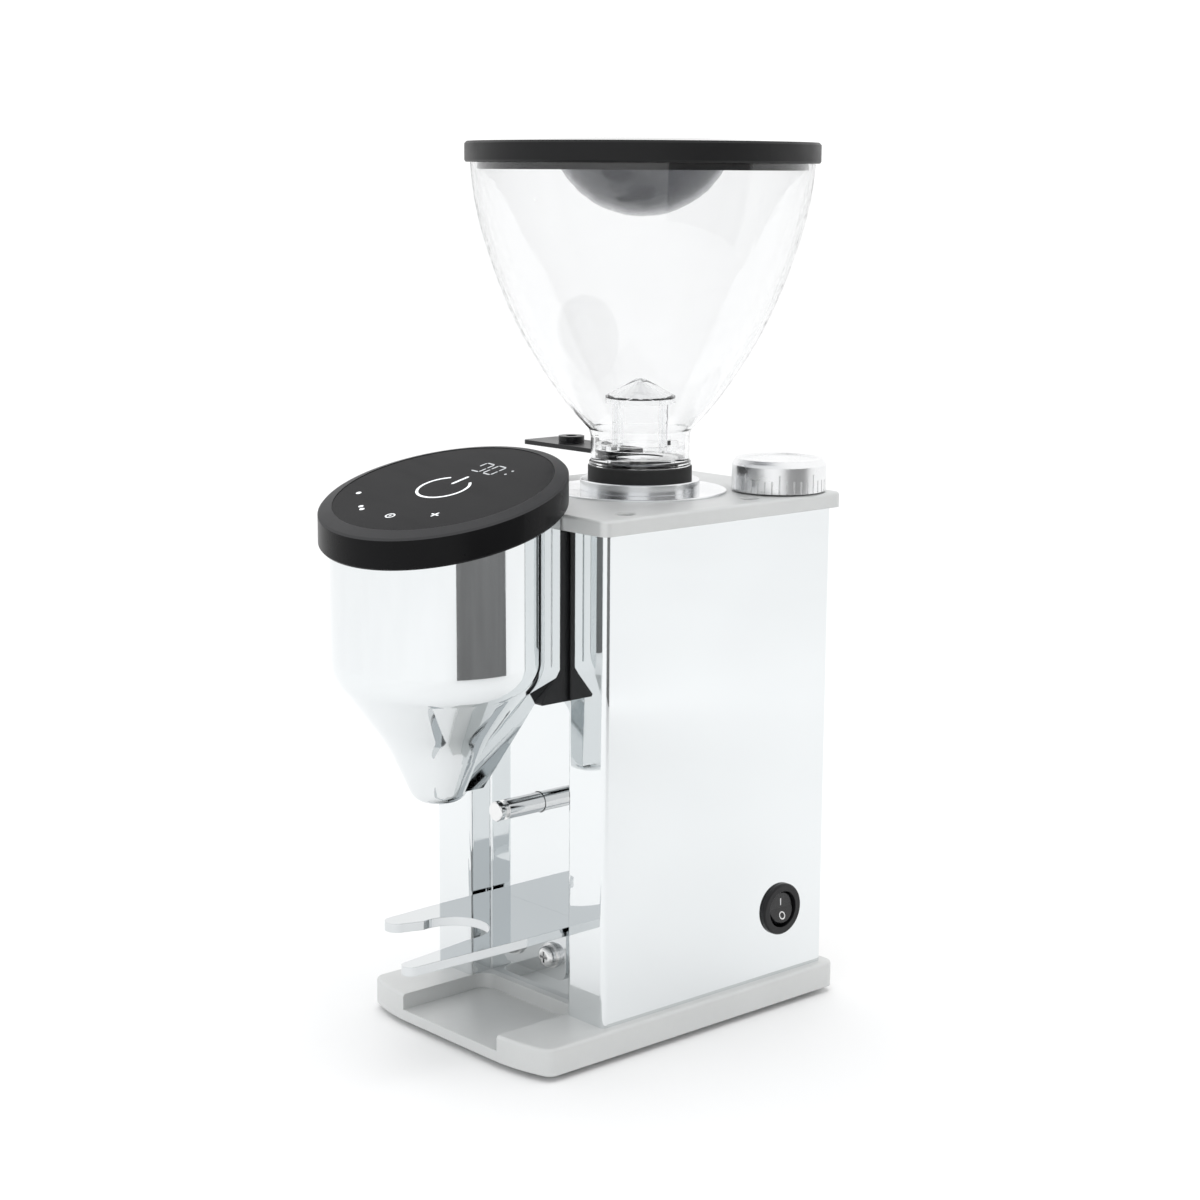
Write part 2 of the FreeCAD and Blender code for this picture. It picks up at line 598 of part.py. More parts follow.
# ---- grind setting -----------------------------------------------------------------------------------------
def make_knob():
    """A turned knob with a bevelled rim, engraved graduations and a shallow dished top."""
    r, z0, z1 = KNOB_RADIUS, PLATE_TOP + 0.8, 252.0
    body = turned([(0, z0 + 2.0), (17, z0 + 2.0), (17, z0), (r, z0), (r, z1 - 2.8), (r - 0.6, z1 - 1.6),
                   (r - 1.8, z1), (r - 4.2, z1), (r - 5.2, z1 - 0.7), (0, z1 - 0.7)], KNOB_X, KNOB_Y)
    marks = []
    for k in range(40):
        height = 8.6 if k % 5 == 0 else 5.6
        mark = box(r - 0.45, r + 1, -0.22, 0.22, z0 - 1, z0 + height)
        marks.append(turn_z(mark, 9.0 * k).translated(V(KNOB_X, KNOB_Y, 0)))
    bore = post(4.0, z0, z1 - 3.5, KNOB_X, KNOB_Y)
    return without(body, bore, *marks)


def make_knob_shaft():
    pinion = gear(PINION_TEETH, GEAR_Z - 1, GEAR_Z + GEAR_FACE + 1, 1.0, KNOB_BEARING + 180, KNOB_X, KNOB_Y)
    rod = post(4.0, GEAR_Z - 3, 252.0 - 3.5, KNOB_X, KNOB_Y)
    collar = post(6.5, GEAR_Z + GEAR_FACE + 1, CASE_TOP - 4.4, KNOB_X, KNOB_Y)
    return joined(pinion, rod, collar)


def make_knob_bush():
    x, y = KNOB_X, KNOB_Y
    body = joined(post(7.0 - 0.02, CASE_TOP, PLATE_TOP, x, y), post(9.5, CASE_TOP - 2.4, CASE_TOP, x, y))
    return without(body, post(4.0 + RUNNING, 220, 240, x, y))


# ---- hopper and its seat -----------------------------------------------------------------------------------
GATE_Z = 252.6
GATE_THICK = 2.0
GATE_HALF = 11.0
GATE_INNER = -8.5  # pulled out, as it stands at rest
THROAT_HALF = 7.5
COLLAR_TOP = 242.6
SEAL_TOP = 248.8


def make_burr_flange():
    y = HOPPER_Y
    return turned([(24.0, 227.2), (36.3, 227.2), (36.3, 222.4), (37.5, 222.4), (37.5, PLATE_TOP),
                   (39.3, PLATE_TOP), (39.3, PLATE_TOP + 0.7), (38.9, PLATE_TOP + 1.0),
                   (24.0, PLATE_TOP + 1.0)], 0, y)


def make_hopper_collar():
    return turned([(19.9, 229), (23.9, 229), (23.9, PLATE_TOP + 1.0), (27.0, PLATE_TOP + 1.0),
                   (27.0, COLLAR_TOP - 0.4), (26.6, COLLAR_TOP), (19.9, COLLAR_TOP)], 0, HOPPER_Y)


def make_hopper_seal():
    return turned([(19.9, COLLAR_TOP), (23.5, COLLAR_TOP), (23.5, SEAL_TOP - 0.5), (23.1, SEAL_TOP),
                   (19.9, SEAL_TOP)], 0, HOPPER_Y)


HOPPER_PROFILE = [(23.2, 265.0), (31.0, 273.4), (41.0, 286.9), (52.0, 304.6), (60.6, 322.4), (67.2, 340.0),
                  (72.4, 357.6), (75.5, 375.0), (76.2, 382.2)]


def make_hopper():
    """A clear bowl turned in one piece with its neck; a web in the neck carries the slide."""
    y = HOPPER_Y
    outside = Part.BSplineCurve()
    outside.interpolate([V(r, 0, z) for r, z in HOPPER_PROFILE])
    inside = Part.BSplineCurve()
    through = [V(r - WALL * 1.05, 0, z + 0.6) for r, z in HOPPER_PROFILE[:-1]]
    inside.interpolate(through + [V(76.2 - WALL, 0, 382.2)])
    first, last = HOPPER_PROFILE[0], HOPPER_PROFILE[-1]
    inner_start, inner_end = (first[0] - WALL * 1.05, first[1] + 0.6), (last[0] - WALL, last[1])
    rest = SEAL_TOP + 0.1
    corners = [inner_start, (20.4, 262), (20.4, 250), (17.4, 250), (17.4, 231), (19.7, 231), (19.7, rest),
               (23.0, rest), (23.0, rest + 1.6), (22.3, rest + 2.4), (22.3, 262), first]
    edges = [line((a[0], 0, a[1]), (b[0], 0, b[1])) for a, b in zip(corners, corners[1:])]
    edges += [outside, line((last[0], 0, last[1]), (inner_end[0], 0, inner_end[1])), inside]
    profile = Part.Wire(Part.__sortEdges__([e.toShape() for e in edges]))
    bowl = Part.Face(profile).revolve(V(0, 0, 0), Z_AXIS, 360).translated(V(0, y, 0))
    throat = rounded_box(-THROAT_HALF, THROAT_HALF, y - 9.5, y + 9.5, 240, 260, 3)
    web = post(20.6, GATE_Z - 2.6, GATE_Z - 0.15, 0, y)
    bowl = joined(bowl, without(web, throat))
    slot = box(-30, -12, y - GATE_HALF - 0.3, y + GATE_HALF + 0.3, GATE_Z - 0.15, GATE_Z + GATE_THICK + 0.15)
    return without(bowl, slot)


def make_gate():
    y = HOPPER_Y
    tab = rounded_box(-69, GATE_INNER, y - GATE_HALF, y + GATE_HALF, GATE_Z, GATE_Z + GATE_THICK, 2.0)
    boss = post(6.0, GATE_Z + GATE_THICK, GATE_Z + GATE_THICK + 3.0, -47, y)
    return without(joined(tab, boss), post(2.6, GATE_Z - 1, GATE_Z + 9, -47, y))


def make_guard():
    """The clear lantern over the throat that keeps fingers out of the burrs."""
    y = HOPPER_Y
    foot = tube(20.2, 17.6, 256.2, 258.4, 0, y)
    legs = [turn_z(box(13.2, 15.6, y - 1.4, y + 1.4, 257.6, 278.5), 90 * k, 0, y) for k in range(4)]
    spokes = [turn_z(box(13.2, 18.4, y - 1.4, y + 1.4, 256.2, 258.4), 90 * k, 0, y) for k in range(4)]
    cap = turned([(0, 286.0), (13.4, 279.2), (13.4, 277.2), (15.8, 277.2), (15.8, 280.2), (2.0, 287.8),
                  (0, 288.0)], 0, y)
    return joined(foot, cap, *legs, *spokes)


def make_lid_ring():
    r = LID_RADIUS
    low, high = LID_BOTTOM, LID_TOP
    return turned([(71.0, low + 3), (72.4, low), (72.4, low - 2.6), (73.0, low - 3.0), (73.0, low),
                   (r - 0.6, low), (r, low + 0.8), (r, high - 1.0), (r - 1.0, high), (73.2, high),
                   (73.2, high - 2.4), (71.0, high - 2.4)], 0, HOPPER_Y)


DISH_BOTTOM = 359.4
DISH_RADIUS = 43.3


def make_lid_dish():
    """The smoked lid panel, slightly domed, with a round dish hanging in its middle."""
    y = HOPPER_Y
    floor, roof = LID_TOP - 2.4, LID_TOP - 0.4
    panel = turned([(0, floor), (73.0, floor), (73.0, roof), (42, roof + 1.8), (0, roof + 1.8)], 0, y)
    centre = V(0, y, DISH_BOTTOM + DISH_RADIUS)
    keep = box(-90, 90, y - 90, y + 90, 300, floor + 0.1)
    bowl = Part.makeSphere(DISH_RADIUS, centre).common(keep)
    inner = Part.makeSphere(DISH_RADIUS - WALL, centre)
    return without(joined(panel, bowl), inner.common(box(-90, 90, y - 90, y + 90, 300, roof + 9)))


# ---- portafilter rest and start pin ------------------------------------------------------------------------
FORK_TOP = 53.8
FORK_THICK = 4.0
FORK_SCREW_Z = 34.5


def fork_plan():
    """The rest's plan: a flared slot between a longer right prong and a shorter left one, with round tips."""
    half, slot, z = 31.5, 15.5, FORK_TOP - FORK_THICK
    back, slot_y = RECESS_DEPTH, -36.0
    right_tip, left_tip = -82.5, -53.5
    curves = [line((half, back, z), (half, -24, z))]
    curves.append(line((half, -24, z), (29.4, right_tip + 5, z)))
    curves.append(arc((29.4, right_tip + 5, z), (25.2, right_tip, z), (21.4, right_tip + 4, z)))
    curves.append(line((21.4, right_tip + 4, z), (slot + 0.6, slot_y - 4, z)))
    curves.append(arc((slot + 0.6, slot_y - 4, z), (0, slot_y + slot, z), (-slot - 0.6, slot_y - 4, z)))
    curves.append(line((-slot - 0.6, slot_y - 4, z), (-19.4, left_tip + 5, z)))
    curves.append(arc((-19.4, left_tip + 5, z), (-25.0, left_tip, z), (-30.4, left_tip + 6, z)))
    curves.append(line((-30.4, left_tip + 6, z), (-half, -24, z)))
    curves.append(line((-half, -24, z), (-half, back, z)))
    curves.append(line((-half, back, z), (half, back, z)))
    return wire_of(curves)


def make_fork():
    plate = Part.Face(fork_plan()).extrude(V(0, 0, FORK_THICK))
    flange = box(-22, 22, RECESS_DEPTH - 3, RECESS_DEPTH, 24, FORK_TOP - 1)
    lower = [e for e in flange.Edges if abs(e.tangentAt(e.FirstParameter).y) > 0.9 and e.BoundBox.ZMax < 30]
    flange = flange.makeFillet(5.0, lower)
    holes = [rod_y(2.8, 0, RECESS_DEPTH + 1, x, FORK_SCREW_Z) for x in FORK_SCREWS]
    return without(joined(plate, flange), *holes)


def make_fork_screws():
    """Cross-head screws along Y, each with a plain washer in front and a nut inside the case."""
    pieces = []
    flange_face = RECESS_DEPTH - 3
    for x in FORK_SCREWS:
        z = FORK_SCREW_Z
        washer = rod_y(5.8, flange_face - 1.2, flange_face, x, z).cut(rod_y(2.25, 0, 20, x, z))
        head = rod_y(4.9, flange_face - 5.0, flange_face - 1.2, x, z)
        rim = [e for e in head.Edges if e.Closed and abs(e.BoundBox.Center.y - (flange_face - 5.0)) < 0.01]
        head = head.makeFillet(2.4, rim)
        screw = joined(head, rod_y(2.2, flange_face - 2, WALL_INSIDE + 6, x, z))
        cross = [box(x - 2.6, x + 2.6, 0, flange_face - 2.8, z - 0.55, z + 0.55)]
        cross.append(box(x - 0.55, x + 0.55, 0, flange_face - 2.8, z - 2.6, z + 2.6))
        nut = rod_y(4.0, WALL_INSIDE, WALL_INSIDE + 3.4, x, z).cut(rod_y(2.2, 0, 40, x, z))
        pieces += [washer, without(screw, *cross), nut]
    return pieces


PIN_TIP = -12.5
PIN_COLLAR = 18.4
BRACKET_Y = 31.0


def make_pin():
    z, r = PIN_Z, PIN_RADIUS
    tip = rod_y(r, PIN_TIP, PIN_TIP + 2.6, 0, z)
    front = [e for e in tip.Edges if e.Closed and abs(e.BoundBox.Center.y - PIN_TIP) < 0.01]
    tip = tip.makeFillet(0.7, front)
    neck = rod_y(3.1, PIN_TIP + 2, PIN_TIP + 5.2, 0, z)
    shank = rod_y(r, PIN_TIP + 5.2, PIN_COLLAR, 0, z)
    collar = rod_y(6.5, PIN_COLLAR, PIN_COLLAR + 1.6, 0, z)
    stem = rod_y(2.0, PIN_COLLAR, 33.0, 0, z)
    return joined(tip, neck, shank, collar, stem)


def make_pin_bush():
    flange = rod_y(9.0, WALL_INSIDE, WALL_INSIDE + 2, 0, PIN_Z)
    sleeve = rod_y(7.0, WALL_INSIDE, PIN_COLLAR, 0, PIN_Z)
    return without(joined(flange, sleeve), rod_y(PIN_RADIUS + RUNNING, 0, 30, 0, PIN_Z))


def make_spring():
    """A coil spring between the pin's collar and the switch bracket."""
    start, end = PIN_COLLAR + 1.6 + 0.5, BRACKET_Y - 0.5
    turns = 5
    pitch = (end - start) / turns
    helix = Part.makeHelix(pitch, end - start, 3.8)
    circle = Part.Wire(Part.Circle(V(3.8, 0, 0), Y_AXIS, 0.45).toShape())
    coil = Part.Wire(helix).makePipeShell([circle], True, True)
    return coil.rotated(V(0, 0, 0), X_AXIS, -90).translated(V(0, start, PIN_Z))


def make_switch_bracket():
    z0, z1 = PIN_Z - 13, PIN_Z + 12
    face = box(-18, 18, BRACKET_Y, BRACKET_Y + 1.5, z0, z1)
    legs = [box(x - 0.75, x + 0.75, WALL_INSIDE, BRACKET_Y + 1.5, z0, z1) for x in (-17.25, 17.25)]
    feet = [box(x0, x1, WALL_INSIDE, WALL_INSIDE + 1.5, z0, z1) for x0, x1 in ((-25, -16.5), (16.5, 25))]
    shelf = box(-15, 15, BRACKET_Y, 48, z0, z0 + 1.5)
    return without(joined(face, *legs, *feet, shelf), rod_y(2.6, 20, 40, 0, PIN_Z))


def make_microswitch():
    x, y0, y1, z0, z1 = 14.0, BRACKET_Y + 6.0, BRACKET_Y + 16.0, PIN_Z - 11.5, PIN_Z + 4.5
    body = box(-x, x, y0, y1, z0, z1)
    lugs = [box(lx - 1.6, lx + 1.6, y1, y1 + 6, PIN_Z - 8, PIN_Z - 7.2) for lx in (-9, 0, 9)]
    well = rod_y(1.65, y0 - 1, y0 + 7.5, 0, PIN_Z)
    mounts = [rod_y(1.6, y0 - 1, y1 + 1, hx, PIN_Z - 3) for hx in (-10.5, 10.5)]
    return without(joined(body, *lugs), well, *mounts)


def make_plunger():
    y0 = 33.0 + 0.1
    return joined(rod_y(1.6, y0 + 0.6, y0 + 6.0, 0, PIN_Z), rod_y(2.2, y0, y0 + 0.6, 0, PIN_Z))


# ---- grounds chute -----------------------------------------------------------------------------------------
def chute_body(inset):
    """The filled chute moved inwards by inset: a round funnel joined to a square neck at its rear."""
    r = CHUTE_RADIUS - inset
    bottom = 113.0 + inset
    top = 290.0
    drop = inset * 0.45
    places = [(10.6, 114.8), (12.6, 117.8), (19.6, 132.8), (23.0, 139.0), (27.2, 145.0), (40.6, 162.6),
              (44.2, 168.4), (CHUTE_RADIUS, 175.0)]
    spout = (7.5 - inset, 0, bottom)
    lip, low, bell, waist, slope, bend, shoulder, side = [(x - inset, 0, z + drop) for x, z in places]
    profile = [line((0, 0, bottom), spout)]
    profile += [arc(spout, lip, low), line(low, bell), arc(bell, waist, slope), line(slope, bend)]
    profile += [arc(bend, shoulder, side), line(side, (r, 0, top))]
    profile.append(line((r, 0, top), (0, 0, top)))
    profile.append(line((0, 0, top), (0, 0, bottom)))
    funnel = Part.Face(wire_of(profile)).revolve(V(0, 0, 0), Z_AXIS, 360).translated(V(0, CHUTE_Y, 0))
    half, rear = NECK_HALF - inset, NECK_REAR - inset
    front = [(-half, top), (-half, 167 + drop), (-24.5 + inset, 146 + drop), (-11.6 + inset, 118 + drop),
             (11.6 - inset, 118 + drop), (24.5 - inset, 146 + drop), (half, 167 + drop), (half, top)]
    side = [(CHUTE_Y, top), (rear, top), (rear, 170 + drop), (-14.4 - inset, 155 + drop),
            (-22.6 - inset, 133 + drop), (-28.6 - inset, 117 + drop), (CHUTE_Y, 117 + drop)]
    neck = front_prism(front, CHUTE_Y, 10).common(side_prism(side, -60, 60))
    behind = box(-60, 60, rear, 60, 100, top + 1)
    return funnel.cut(behind).fuse(neck)


def make_chute():
    shell = chute_body(0).cut(chute_body(WALL))
    cuts = [sloped_slab(-DISPLAY_DEPTH, REACH)]
    cuts.append(post(7.0, 100, 125, 0, CHUTE_Y))
    x0, x1, z0, z1 = DUCT
    cuts.append(box(x0 - 0.1, x1 + 0.1, NECK_REAR - 4, 5, z0 - 0.1, z1 + 0.1))
    cuts.append(cable_slot(NECK_REAR - 4, 5))
    cuts += [rod_y(2.1, NECK_REAR - 4, 5, x, z) for x, z in CHUTE_SCREWS]
    for x0, x1 in ((-40, -NECK_HALF + 0.5), (NECK_HALF - 0.5, 40)):
        cuts.append(box(x0, x1, -9.2, -8.5, 172, 290))
    return without(shell, *cuts).removeSplitter()


def make_gasket():
    """A black spacer that fills the recess behind the chute and wraps under its sloping neck."""
    edge = RECESS_HALF - 0.1
    side = [(RECESS_DEPTH, CASE_TOP - 0.6), (NECK_REAR, CASE_TOP - 0.6), (NECK_REAR, 169.6), (-14.6, 156.8),
            (-14.0, 155.8), (RECESS_DEPTH, 155.8)]
    body = side_prism(side, -edge, edge)
    body = body.cut(chute_body(-0.02))
    y0, y1 = RECESS_DEPTH - 1.3, RECESS_DEPTH + 1
    corners = [box(s * 32.5 - 2.4, s * 32.5 + 2.4, y0, y1, 150, 232) for s in (-1, 1)]
    x0, x1, z0, z1 = DUCT
    holes = [box(x0 - 0.1, x1 + 0.1, -20, 20, z0 - 0.1, z1 + 0.1), cable_slot(-20, 20)]
    holes += [rod_y(2.1, -20, 20, x, z) for x, z in CHUTE_SCREWS]
    return without(body, *corners, *holes)


def make_chute_screws():
    """Screws from inside the case through wall and spacer into nuts inside the chute."""
    pieces = []
    for x, z in CHUTE_SCREWS:
        head = rod_y(3.6, WALL_INSIDE, WALL_INSIDE + 2.8, x, z)
        shank = rod_y(1.95, NECK_REAR - WALL - 4.5, WALL_INSIDE + 1, x, z)
        nut = rod_y(3.6, NECK_REAR - WALL - 3.2, NECK_REAR - WALL, x, z).cut(rod_y(1.95, -30, 30, x, z))
        pieces += [joined(head, shank), nut]
    return pieces


def make_duct():
    """The square tube that carries ground coffee from the burr chamber to the chute."""
    x0, x1, z0, z1 = DUCT
    front, rear = NECK_REAR - 3.0, HOPPER_Y - 45.2
    outer = box(x0, x1, front, rear, z0, z1)
    collar = box(x0 - 3, x1 + 3, WALL_INSIDE, WALL_INSIDE + 2, z0 - 3, z1 + 3)
    inner = box(x0 + WALL, x1 - WALL, front - 1, rear + 1, z0 + WALL, z1 - WALL)
    return without(joined(outer, collar), inner)


# ---- display -----------------------------------------------------------------------------------------------
BEVEL_DROP = 1.4


def make_display_ring():
    r, depth = DISPLAY_RADIUS, DISPLAY_DEPTH
    seat, ledge = GLASS_RADIUS + 0.1, GLASS_RADIUS - 2
    profile = [(0, -depth), (r - 0.6, -depth), (r, -depth + 0.8), (r, -BEVEL_DROP - 0.8),
               (r - 0.8, -BEVEL_DROP), (seat, 0), (seat, -2.2), (ledge, -2.2), (ledge, -depth + 2),
               (0, -depth + 2)]
    notch = box(CABLE_X - 6, CABLE_X + 6, 12, 22, -depth - 1, -depth + 3)
    return tilted(without(turned(profile), notch))


def make_glass():
    return post(GLASS_RADIUS, DISPLAY_Z - 40, DISPLAY_Z + 40, 0, DISPLAY_Y).common(sloped_slab(-2.2, -0.2))


def make_display_board():
    def layer(shape, low, high):
        return shape.translated(V(0, DISPLAY_Y, DISPLAY_Z)).common(sloped_slab(low, high))

    board = layer(post(GLASS_RADIUS - 3, -40, 40), -5.6, -4.0)
    below = [layer(box(x - w, x + w, y - d, y + d, -40, 40), -7.4, -5.6)
             for x, y, w, d in ((0, 0, 8, 8), (-25, -8, 5, 3.5), (20, -17, 6, 3), (CABLE_X, 16.5, 6, 2.4))]
    pads = ((-30, -22), (-14, -32), (5.5, -32), (22.5, -22))
    above = [layer(box(-9, 9, 17, 29, -40, 40), -4.0, -2.2)]
    above += [layer(post(3.2, -40, 40, x, y), -4.0, -2.2) for x, y in pads]
    return joined(board, *below, *above)


CABLE_Z = 224.0
CABLE_BEND = 5.0
CABLE_START = (-23.4, 238.6)
CABLE_END_Z = 126.0
RELAY_REAR = 36.0
TERMINAL_REAR = 32.0


def make_display_cable():
    """A ribbon: down from the display board, back through the case wall and down to the control board."""
    y, z = CABLE_START
    far = WALL_INSIDE + 5.0
    r = CABLE_BEND
    s = r * (1 - math.sqrt(0.5))
    path = [line((CABLE_X, y, z), (CABLE_X, y, CABLE_Z + r))]
    path.append(arc((CABLE_X, y, CABLE_Z + r), (CABLE_X, y + s, CABLE_Z + s), (CABLE_X, y + r, CABLE_Z)))
    path.append(line((CABLE_X, y + r, CABLE_Z), (CABLE_X, far - r, CABLE_Z)))
    turn = (CABLE_X, far - s, CABLE_Z - s)
    path.append(arc((CABLE_X, far - r, CABLE_Z), turn, (CABLE_X, far, CABLE_Z - r)))
    path.append(line((CABLE_X, far, CABLE_Z - r), (CABLE_X, far, CABLE_END_Z)))
    half, thick = 5.0, 0.8
    corners = [V(CABLE_X + dx, y + dy, z) for dx, dy in
               ((-half, -thick / 2), (half, -thick / 2), (half, thick / 2), (-half, thick / 2))]
    section = Part.makePolygon(corners + corners[:1])
    return wire_of(path).makePipeShell([section], True, False)


# ---- electrics ---------------------------------------------------------------------------------------------
def make_control_board():
    face = WALL_INSIDE + 6.4
    back = face + 1.6
    board = box(-53.0, -19.5, face, back, 62, CABLE_END_Z + 2)
    parts = [box(-32, -20, face - 3, face, CABLE_END_Z - 8, CABLE_END_Z)]
    parts.append(box(-50, -36, back, RELAY_REAR, 96, 112))
    parts += [box(-32, -22, back, TERMINAL_REAR, 66, 78), rod_y(5, back, back + 13, -44, 82)]
    parts.append(box(-34, -22, back, back + 3, 88, 104))
    pads = [rod_y(2.5, SHEET, face, x, z) for x, z in ((-49, 66), (-49, CABLE_END_Z - 2))]
    return joined(board, *parts, *pads)


def make_capacitor():
    can = post(17, BASE_TOP, 76, 25, 56)
    can = can.makeFillet(2.0, top_edges(can, 76))
    blades = [box(25 + dx - 0.4, 25 + dx + 0.4, 53, 59, 75, 84) for dx in (-6, 6)]
    return joined(can, post(3.0, 7.0, BASE_TOP + 1, 25, 56), *blades)


def make_inlet():
    face = CASE_DEPTH + SHEET
    flange = box(INLET_X - 24.5, INLET_X + 24.5, face, face + 2.6, INLET_Z - 12, INLET_Z + 12)
    corners = [e for e in flange.Edges if abs(e.tangentAt(e.FirstParameter).y) > 0.9]
    flange = flange.makeFillet(4.0, corners)
    body = box(INLET_X - 13.5, INLET_X + 13.5, 117, face + 1, INLET_Z - 9.8, INLET_Z + 9.8)
    half_w, half_h, cut = 12.2, 8.4, 4.5
    outline = [(-half_w, -half_h), (half_w, -half_h), (half_w, half_h - cut), (half_w - cut, half_h),
               (-half_w + cut, half_h), (-half_w, half_h - cut)]
    socket = front_prism([(INLET_X + x, INLET_Z + z) for x, z in outline], 122, face + 5)
    holes = [rod_y(1.6, face - 1, face + 5, x, z) for x, z in INLET_SCREWS]
    shell = without(joined(flange, body), socket, *holes)
    pins = []
    for dx, dz in ((-7, -1.8), (7, -1.8), (0, 2.6)):
        x, z = INLET_X + dx, INLET_Z + dz
        pins.append(box(x - 1.0, x + 1.0, 122, 136, z - 2.0, z + 2.0))
    lugs = [box(x - 0.4, x + 0.4, 109, 117, INLET_Z - 4.5, INLET_Z + 1.5) for x in (INLET_X - 7, INLET_X + 7)]
    return [shell] + pins + lugs


ROCKER_X = 54.6
ROCKER_RADIUS = 8.25


def make_rocker_housing():
    rim = rod_x(12.0, CASE_HALF, CASE_HALF + 2.0, ROCKER_Y, ROCKER_Z)
    outer = [e for e in rim.Edges if e.Closed and abs(e.BoundBox.Center.x - CASE_HALF - 2.0) < 0.01]
    rim = rim.makeFillet(1.0, outer)
    barrel = rod_x(10.1, 38, CASE_HALF + 1, ROCKER_Y, ROCKER_Z)
    well = rod_x(ROCKER_RADIUS + 0.2, 44, 70, ROCKER_Y, ROCKER_Z)
    levels = (ROCKER_Z - 4.5, ROCKER_Z + 4.5)
    blades = [box(30, 39, ROCKER_Y - 3, ROCKER_Y + 3, z - 0.4, z + 0.4) for z in levels]
    return joined(without(joined(rim, barrel), well), *blades)


def make_rocker():
    """A round rocker whose face is folded along its middle; it sits tilted with its lower half in."""
    ball = Part.makeSphere(ROCKER_RADIUS, V(ROCKER_X, ROCKER_Y, ROCKER_Z), X_AXIS)
    slope = math.tan(math.radians(9))
    x, z, reach = ROCKER_X, ROCKER_Z, 12.0
    fold, tip = x + 3.6, x + 3.6 + reach * slope
    kept = [(x - 5, z - reach), (tip, z - reach), (fold, z), (tip, z + reach), (x - 5, z + reach)]
    keep = front_prism(kept, ROCKER_Y - 20, ROCKER_Y + 20)
    rocker = ball.common(keep)
    return rocker.rotated(V(x, ROCKER_Y, z), Y_AXIS, ROCKER_REST)


def lead(points, radius):
    """A round lead along straight runs whose corners are rounded by arcs."""
    route = [V(*p) for p in points]
    curves, last = [], route[0]
    for before, corner, after in zip(route, route[1:], route[2:]):
        into, out = (corner - before).normalize(), (after - corner).normalize()
        turn = into.getAngle(out)
        cut = 0.45 * min((corner - before).Length, (after - corner).Length)
        bend = cut / math.tan(turn / 2)
        start, end = corner - into * cut, corner + out * cut
        bisector = (out - into).normalize()
        centre = corner + bisector * math.hypot(bend, cut)
        curves.append(Part.LineSegment(last, start))
        curves.append(Part.Arc(start, centre - bisector * bend, end))
        last = end
    curves.append(Part.LineSegment(last, route[-1]))
    path = wire_of(curves)
    circle = Part.Circle(route[0], (route[1] - route[0]).normalize(), radius)
    return path.makePipeShell([Part.Wire(circle.toShape())], True, False)


def make_leads():
    """Mains leads from the inlet's lugs to the switch, and one up to the motor."""
    y, z = ROCKER_Y, ROCKER_Z
    supply = lead([(INLET_X + 7, 109, 46.5), (INLET_X + 7, 99, 46.5), (0, 92, 54), (16, 104, 54),
                   (24, y, z + 4.5), (30, y, z + 4.5)], 1.3)
    switched = lead([(30, y, z - 4.5), (20, y, z - 4.5), (2, 98, 36), (-27, 62, 56), (-27, 44, 72),
                     (-27, TERMINAL_REAR, 72)], 1.3)
    motor = lead([(-43, RELAY_REAR, 104), (-43, 44, 104), (-41, 58, 114), (-40, 72, 122),
                  (-40, 72, MOTOR_BOTTOM)], 1.3)
    return supply, switched, motor


# ---- write every sub-part ----------------------------------------------------------------------------------
FAN_Z = 119.0

os.makedirs("parts", exist_ok=True)
save("base_plate", make_base())
save("rubber_feet", *make_feet())
save("base_screws", *make_base_screws())
save("body_shell", make_case())
save("rear_cover", make_rear_cover())
save("rear_cover_screws", *make_cover_screws())
save("top_plate", make_top_plate())
save("top_plate_screws", *make_plate_screws())
save("power_inlet", *make_inlet())
save("rocker_housing", make_rocker_housing())
save("rocker", make_rocker())
save("grinding_chamber", make_chamber())
save("chamber_posts", *make_posts())
save("adjusting_ring", make_adjusting_ring())
save("upper_burr_carrier", make_upper_carrier())
save("upper_burr", burr(LOWER_BURR_Z + BURR_HEIGHT + BURR_GAP, -1))
save("upper_burr_screws", *burr_screws(LOWER_BURR_Z + BURR_HEIGHT + BURR_GAP, -1))
save("lower_burr_carrier", make_lower_carrier())
save("lower_burr", burr(LOWER_BURR_Z, 1))
save("lower_burr_screws", *burr_screws(LOWER_BURR_Z, 1))
save("burr_nut", make_burr_nut())
save("motor_shaft", make_shaft())
save("motor_rotor", make_rotor())
save("motor_bearings", *make_bearings())
save("motor_stator", make_stator())
save("motor_windings", *make_windings())
save("motor_housing", make_motor_housing())
save("motor_end_cap", make_end_cap())
save("motor_screws", *make_motor_screws())
save("cooling_fan", make_fan())
save("grind_knob", make_knob())
save("knob_shaft", make_knob_shaft())
save("knob_bush", make_knob_bush())
save("burr_flange", make_burr_flange())
save("hopper_collar", make_hopper_collar())
save("hopper_seal", make_hopper_seal())
save("hopper_bowl", make_hopper())
save("finger_guard", make_guard())
save("gate_slide", make_gate())
save("lid_ring", make_lid_ring())
save("lid_dish", make_lid_dish())
save("fork", make_fork())
save("fork_screws", *make_fork_screws())
save("activation_pin", make_pin())
save("pin_bush", make_pin_bush())
save("pin_spring", make_spring())
save("switch_bracket", make_switch_bracket())
save("microswitch", make_microswitch())
save("microswitch_plunger", make_plunger())
save("chute_shell", make_chute())
save("chute_gasket", make_gasket())
save("chute_screws", *make_chute_screws())
save("coffee_duct", make_duct())
save("display_ring", make_display_ring())
save("display_glass", make_glass())
save("display_board", make_display_board())
save("display_cable", make_display_cable())
save("control_board", make_control_board())
save("capacitor", make_capacitor())
save("mains_leads", *make_leads())
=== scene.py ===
"""Looks of the burr coffee grinder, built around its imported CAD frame."""

import math

import bmesh
import bpy
from mathutils import Matrix, Vector


